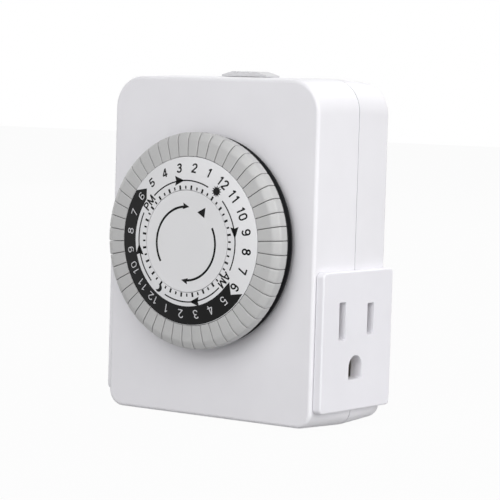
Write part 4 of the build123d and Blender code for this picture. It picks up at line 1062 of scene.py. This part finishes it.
# Radii are in millimetres, and angles in degrees clockwise from the top.
class TIMER_OT_printing(bpy.types.Operator):
    """Prints the hour numbers, ticks, day and night band and arrows on the dial"""

    bl_idname = "timer_switch.printing"
    bl_label = "Printing"

    def execute(self, context):
        sizes = context.scene.timer_dial
        thickness = sizes.print_height / MM
        flat = raised(joined(*self.ticks(), *self.night_band(), *self.ring_arrows(),
                             sun(15.85, 35.0, tip=1.5, valley=0.92)), thickness)
        moon = pressed(crescent(15.0, 214.5, size=1.05, shift=0.75, opening=-55.0), thickness)
        dark, pale = self.numbers(sizes, thickness)
        dark = draped(joined(flat, moon, *dark), sizes)
        make_piece("ring_print_dark", dark, "black_ink", "dial",
                   weighted=False)
        make_piece("ring_print_pale", draped(joined(*pale), sizes), "pale_ink", "dial",
                   weighted=False)
        centre = raised(joined(self.centre_arrows(), self.pointer()), thickness)
        make_piece("centre_print", centre, "black_ink", "casing",
                   weighted=False)
        return {"FINISHED"}

    def ticks(self):
        """Ticks at the hours and, a little smaller, at the half hours."""
        hour, half_hour = (13.05, 14.15, 0.55), (13.2, 13.98, 0.42)
        for number in range(PINS):
            inner, outer, wide = half_hour if number % 2 else hour
            yield mark(inner, outer, FIRST_HOUR + PITCH * number, wide)

    def night_band(self):
        """Black band of the night hours, with a point at one end and a notch at the other."""
        inner, outer, start, end = 16.45, 21.18, 131.7, 304.6
        middle = (inner + outer) / 2
        yield band(inner, outer, start, end, 86)
        head = ((inner, end), (inner + 0.1, 307.2), (18.55, 313.0), (outer, end), (middle, end))
        yield patch([clock(radius, at, z=0) for radius, at in head])
        for radius, tail in ((inner, (16.7, 124.0)), (outer, (21.05, 125.1))):
            corner = (middle, start), (radius, start), tail
            yield patch([clock(radius, at, z=0) for radius, at in corner])

    def ring_arrows(self):
        """Four arcs with arrowheads that show which way the dial turns."""
        radius, weight, half_arc, turn = 15.32, 0.34, 34.6, -9.7
        for quarter, tip in zip(range(4), (-4.3, 84.5, 174.1, 264.6)):
            middle = 90 * quarter + turn
            yield band(radius - weight / 2, radius + weight / 2, middle - half_arc,
                       middle + half_arc, 36)
            yield arrowhead(radius, tip, 2.95, 2.5)

    def numbers(self, sizes, thickness):
        """Hour numbers, AM and PM in black, and the night's numbers in a pale tone."""
        tall, circle, letter, letter_circle = mm(sizes, "numeral_height", "numeral_radius",
                                                 "letter_height", "letter_radius")
        weight, pale_weight, letter_weight, pale_rise = 0.18, 0.1, 0.185, 0.015
        dark, pale = [], []
        for number, hour in enumerate([2, 1, 12, 11, 10, 9, 8, 7, 6, 5, 4, 3] * 2):
            at = FIRST_HOUR + 2 * PITCH * number
            if 9 <= number <= 20:
                pale.append(lettering(str(hour), tall, pale_weight, thickness + pale_rise, circle,
                                      at))
            else:
                dark.append(lettering(str(hour), tall, weight, thickness, circle, at))
        for word, at in (("PM", -53.4), ("AM", 126.2)):
            dark.append(lettering(word, letter, letter_weight, thickness, letter_circle, at))
        return dark, pale

    def centre_arrows(self):
        """Two arcs with arrowheads on the fixed centre."""
        radius, half_weight, head_length, head_width = 9.3, 0.29, 2.05, 1.65
        shapes = []
        for start, head in ((238.0, 365.5), (62.0, 187.0)):
            shapes.append(band(radius - half_weight, radius + half_weight, start, head - 10, 48))
            shapes.append(arrowhead(radius, head, head_length, head_width))
        arrows = joined(*shapes)
        bmesh.ops.translate(arrows, vec=(-0.2, 0, -0.6), verts=arrows.verts)
        return arrows

    def pointer(self):
        """Triangle on the fixed centre that points at the time."""
        return patch([(5.78, 8.76), (3.27, 7.48), (5.5, 6.12)])


# ---- Slide, plug and screws -------------------------------------------------------------------
class TIMER_OT_slide(bpy.types.Operator):
    """Builds the override slide on the top"""

    bl_idname = "timer_switch.slide"
    bl_label = "Slide"

    def execute(self, context):
        middle_x, middle_y = (SLIDE_LOW.x + SLIDE_HIGH.x) / 2, (SLIDE_LOW.y + SLIDE_HIGH.y) / 2
        knob, plateau, half_depth, edge = 14.4, 7.4, 3, 0.12
        foot, top, base = 0.45, SLIDE_HIGH.z, SLIDE_HIGH.z - 1.37
        outline = [(-knob / 2, base), (knob / 2, base), (knob / 2, base + foot),
                   (plateau / 2, top)]
        grooves, pitch, half_mouth, half_floor, depth = 4, 1.45, 0.38, 0.26, 0.4
        for number in range(grooves - 1, -1, -1):
            x = (number - (grooves - 1) / 2) * pitch
            outline += [(x + half_mouth, top), (x + half_floor, top - depth),
                        (x - half_floor, top - depth), (x - half_mouth, top)]
        outline += [(-plateau / 2, top), (-knob / 2, base + foot)]
        outline = [(middle_x + x, z) for x, z in outline]
        shape = extruded(outline, middle_y - half_depth, middle_y + half_depth)
        soften(shape, edge, 2, 35)
        keeper_height, sunk, rise = 1.0, 0.1, 0.3
        neck = box_shape((middle_x - 2, middle_y - 1.3, SLIDE_LOW.z + keeper_height - sunk),
                         (middle_x + 2, middle_y + 1.3, base + rise))
        keeper = box_shape((middle_x - 4.5, middle_y - 3.2, SLIDE_LOW.z),
                           (middle_x + 4.5, middle_y + 3.2, SLIDE_LOW.z + keeper_height))
        shape = combined(shape, neck, "UNION")
        shape = combined(shape, keeper, "UNION")
        make_piece("slide_knob", shape, "slide_plastic", "override", ["override_slide"])
        return {"FINISHED"}


class TIMER_OT_plug(bpy.types.Operator):
    """Builds the plug's blades and ground pin on the back, and the casing's screws"""

    bl_idname = "timer_switch.plug"
    bl_label = "Plug and screws"

    def execute(self, context):
        for node in ("line_blade", "neutral_blade"):
            make_piece(f"plug_{node}", self.blade(*box_mm(node)), "plated_brass", "casing",
                       [node])
        make_piece("plug_ground_pin", self.ground_pin(*box_mm("ground_pin")), "plated_brass",
                   "casing", ["ground_pin"])
        start = box_mm("case_screws")[0].y
        screws = [self.screw(place, start) for place in screw_places()]
        make_piece("casing_screws", joined(*screws), "zinc_steel", "casing", ["case_screws"])
        return {"FINISHED"}

    def blade(self, low, high):
        """Flat blade with a round hole, a rounded tip and a narrower tang inside the casing."""
        tip_corner, tip_edge, half_tang, hole_radius, hole_level = 0.9, 0.38, 1.5, 1.6, 11.7
        middle = (low.z + high.z) / 2
        shape = box_shape((low.x, PLUG_INSIDE, low.z), (high.x, high.y, high.z))
        tip = [edge for edge in at_level(shape, 1, high.y) if edge in along(shape, 0)]
        bevel(shape, tip, tip_corner, 4)
        start = high.y - 1.2
        flat = [edge for edge in shape.edges
                if edge.verts[0].co.y > start and edge.verts[1].co.y > start
                and abs(edge.verts[0].co.x - edge.verts[1].co.x) < 1e-4]
        bevel(shape, flat, tip_edge, 3)
        tang = box_shape((low.x, low.y, middle - half_tang),
                         (high.x, PLUG_INSIDE + 0.5, middle + half_tang))
        shape = combined(shape, tang, "UNION")
        hole = bmesh.new()
        bmesh.ops.create_cone(hole, cap_ends=True, segments=40, radius1=hole_radius,
                              radius2=hole_radius, depth=6)
        bmesh.ops.rotate(hole, cent=(0, 0, 0), matrix=Matrix.Rotation(pi / 2, 3, "Y"),
                         verts=hole.verts)
        bmesh.ops.translate(hole, vec=((low.x + high.x) / 2, hole_level, middle),
                            verts=hole.verts)
        return combined(shape, hole)

    def ground_pin(self, low, high):
        """Round pin with a rounded tip and a neck inside the casing."""
        neck, root, root_end, tip = 0.8, 0.2, 0.5, 1.6
        place, radius = ((low.x + high.x) / 2, (low.z + high.z) / 2), (high.x - low.x) / 2
        shape = spun([
            (0, low.y), (radius - neck, low.y), (radius - neck, PLUG_INSIDE),
            (radius - root, PLUG_INSIDE), (radius - root, root_end), (radius, root_end),
            (radius, high.y), (0, high.y),
        ], place, 64, closed=False)
        rim = [
            edge for edge in at_level(shape, 1, high.y)
            if all(hypot(v.co.x - place[0], v.co.z - place[1]) > 1 for v in edge.verts)
        ]
        return bevel(shape, rim, tip, 6)

    def screw(self, place, start):
        """Screw with a crowned head and a cross recess, in its well in the rear shell."""
        shank, crown = 1.4, WELL_FLOOR + 1.8
        half_long, half_wide, recess = 1.45, 0.3, -4.0
        shape = spun([
            (0, start), (1.0, start), (shank, start + 0.8), (shank, WELL_FLOOR),
            (SCREW_HEAD, WELL_FLOOR), (SCREW_HEAD, -3.9), (2.1, -3.25), (1.2, crown), (0, crown),
        ], place, 40, closed=False)
        cross = box_shape((place[0] - half_long, recess, place[1] - half_wide),
                          (place[0] + half_long, crown + 1, place[1] + half_wide))
        upright = box_shape((place[0] - half_wide, recess, place[1] - half_long),
                            (place[0] + half_wide, crown + 1, place[1] + half_long))
        return combined(shape, combined(cross, upright, "UNION"))


class TIMER_OT_inner_finishes(bpy.types.Operator):
    """Gives the parts inside the casing their materials"""

    bl_idname = "timer_switch.inner_finishes"
    bl_label = "Inner finishes"

    def execute(self, context):
        groups = {
            "inner_plastic": ("contact_carrier", "switch_base", "switch_lever", "override_link",
                              "plug_base"),
            "gear_plastic": ("dial_gear", "idler_gear", "motor_pinion"),
            "brass_strip": ("line_bus", "neutral_bus", "ground_bus", "load_bus", "contact_leaf"),
            "silver_contact": ("fixed_contact",),
            "zinc_steel": ("chassis_plate", "chassis_screws", "motor_screws", "motor_can",
                           "idler_arbor", "lever_pin", "dial_clip", "dial_spindle"),
        }
        for material, nodes in groups.items():
            for node in nodes:
                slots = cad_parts[node].data.materials
                slots.clear()
                slots.append(finish(material))
        return {"FINISHED"}


# ---- Stage ------------------------------------------------------------------------------------
# Each lamp's place, width and height in metres, and the point that they all face.
LIT_POINT = (0, -0.02, -0.015)
LAMPS = {
    "key_light": ((0.5, -0.8, 0.8), 0.9, 0.9),
    "upper_light": ((0.0, -1.1, 0.6), 0.7, 0.7),
    "front_light": ((0.3, -1.2, 0.25), 0.9, 0.6),
    "side_light": ((1.3, 0.05, 0.4), 0.9, 0.9),
    "back_light": ((0.1, 0.8, 1.0), 0.9, 0.9),
    "left_light": ((-1.1, 0.5, 0.42), 0.9, 0.9),
}


def area_light(name, power):
    """Soft light from one of the lamp places, which faces the timer."""
    place, wide, tall = LAMPS[name]
    data = bpy.data.lights.new(name, "AREA")
    data.shape = "RECTANGLE"
    data.size, data.size_y = wide, tall
    data.energy = power
    towards = Vector(LIT_POINT) - Vector(place)
    light = bpy.data.objects.new(name, data)
    light.location = place
    light.rotation_mode = "QUATERNION"
    light.rotation_quaternion = towards.to_track_quat("-Z", "Y")
    light.visible_camera = False
    bpy.context.scene.collection.objects.link(light)


def seen_ray(tree):
    """Socket that is one for a camera ray, a reflection or a ray through glass."""
    path = tree.nodes.new("ShaderNodeLightPath")
    total = path.outputs["Is Camera Ray"]
    for kind in ("Is Glossy Ray", "Is Transmission Ray"):
        step = linked(tree, "ShaderNodeMath", operation="MAXIMUM")
        tree.links.new(total, step.inputs[0])
        tree.links.new(path.outputs[kind], step.inputs[1])
        total = step.outputs["Value"]
    return total


def blended(tree, share, first, second, output_kind):
    """Output that goes from the first shader to the second by a share."""
    mix = linked(tree, "ShaderNodeMixShader")
    for number, socket in enumerate((share, first.outputs[0], second.outputs[0])):
        tree.links.new(socket, mix.inputs[number])
    output = tree.nodes.new(output_kind)
    tree.links.new(mix.outputs[0], output.inputs["Surface"])


class TIMER_OT_stage(bpy.types.Operator):
    """Sets the camera, the lights, the white surroundings and the floor"""

    bl_idname = "timer_switch.stage"
    bl_label = "Stage"

    def execute(self, context):
        context.scene.view_settings.view_transform = "Standard"
        stage = context.scene.timer_stage
        self.camera(context.scene, stage)
        self.surroundings(context.scene, stage)
        self.floor(context.scene, stage)
        for name in LAMPS:
            area_light(name, getattr(stage, name))
        return {"FINISHED"}

    def camera(self, scene, stage):
        """Camera at its angles and distance from the point that it looks at."""
        back = Vector((sin(stage.azimuth) * cos(stage.elevation),
                       -cos(stage.azimuth) * cos(stage.elevation), sin(stage.elevation)))
        right = Vector((cos(stage.azimuth), sin(stage.azimuth), 0))
        up = back.cross(right)
        side = right * cos(stage.roll) + up * sin(stage.roll)
        above = up * cos(stage.roll) - right * sin(stage.roll)
        place = Vector(stage.aim) + back * stage.distance
        data = bpy.data.cameras.new("camera")
        data.lens = stage.lens
        data.sensor_width = 36.0
        data.clip_start = 0.01
        camera = bpy.data.objects.new("camera", data)
        camera.matrix_world = Matrix((
            (side.x, above.x, back.x, place.x), (side.y, above.y, back.y, place.y),
            (side.z, above.z, back.z, place.z), (0, 0, 0, 1),
        ))
        scene.collection.objects.link(camera)
        scene.camera = camera

    def surroundings(self, scene, stage):
        """World that looks white and gives little light of its own."""
        world = bpy.data.worlds.new("surroundings")
        scene.world = world
        world.use_nodes = True
        tree = world.node_tree
        tree.nodes.clear()
        glow = linked(tree, "ShaderNodeBackground", Strength=stage.ambient)
        white = linked(tree, "ShaderNodeBackground", Strength=1.0)
        for node in (glow, white):
            node.inputs["Color"].default_value = (1, 1, 1, 1)
        blended(tree, seen_ray(tree), glow, white, "ShaderNodeOutputWorld")

    def floor(self, scene, stage):
        """Matt pale floor just under the timer, which the camera sees as almost white."""
        shape = bmesh.new()
        bmesh.ops.create_grid(shape, x_segments=1, y_segments=1, size=stage.floor_size / 2)
        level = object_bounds()[0].z - 0.0001
        bmesh.ops.translate(shape, vec=(0, 0, level), verts=shape.verts)
        mesh = bpy.data.meshes.new("floor")
        shape.to_mesh(mesh)
        shape.free()
        floor = bpy.data.objects.new("floor", mesh)
        scene.collection.objects.link(floor)
        material = bpy.data.materials.new("floor_paper")
        material.use_nodes = True
        tree = material.node_tree
        tree.nodes.clear()
        matt = linked(tree, "ShaderNodeBsdfDiffuse")
        matt.inputs["Color"].default_value = (stage.floor_tone,) * 3 + (1.0,)
        white = linked(tree, "ShaderNodeEmission", Strength=1.0)
        share = linked(tree, "ShaderNodeMath", operation="MULTIPLY")
        tree.links.new(seen_ray(tree), share.inputs[0])
        share.inputs[1].default_value = stage.floor_white
        blended(tree, share.outputs[0], matt, white, "ShaderNodeOutputMaterial")
        mesh.materials.append(material)
        floor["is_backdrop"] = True


# ---- Panel and registration -------------------------------------------------------------------
STEPS = (
    ("casing", TIMER_OT_casing), ("outlet", TIMER_OT_outlet), ("dial", TIMER_OT_dial),
    ("pins", TIMER_OT_pins), ("printing", TIMER_OT_printing), ("slide", TIMER_OT_slide),
    ("plug", TIMER_OT_plug), ("inner_finishes", TIMER_OT_inner_finishes), ("stage", TIMER_OT_stage),
)
GROUPS = {
    "timer_casing": CasingSizes, "timer_outlet": OutletSizes, "timer_dial": DialSizes,
    "timer_finishes": Finishes, "timer_stage": StageSettings,
}


class TIMER_PT_panel(bpy.types.Panel):
    """Timer switch settings and build steps"""

    bl_idname = "TIMER_PT_panel"
    bl_label = "Timer switch"
    bl_space_type = "VIEW_3D"
    bl_region_type = "UI"
    bl_category = "Timer"

    def draw(self, context):
        for _, step in STEPS:
            self.layout.operator(step.bl_idname)
        for name, group in GROUPS.items():
            column = self.layout.column(heading=group.__doc__)
            for key in group.__annotations__:
                column.prop(getattr(context.scene, name), key)


def register():
    for name, group in GROUPS.items():
        bpy.utils.register_class(group)
        setattr(bpy.types.Scene, name, PointerProperty(type=group))
    for _, step in STEPS:
        bpy.utils.register_class(step)
    bpy.utils.register_class(TIMER_PT_panel)


def unregister():
    bpy.utils.unregister_class(TIMER_PT_panel)
    for _, step in reversed(STEPS):
        bpy.utils.unregister_class(step)
    for name, group in GROUPS.items():
        delattr(bpy.types.Scene, name)
        bpy.utils.unregister_class(group)


def main():
    register()
    for name, _ in STEPS:
        if getattr(bpy.ops.timer_switch, name)() != {"FINISHED"}:
            raise RuntimeError(f"the step {name} did not finish")
    bpy.context.view_layer.update()


if __name__ == "__main__":
    main()
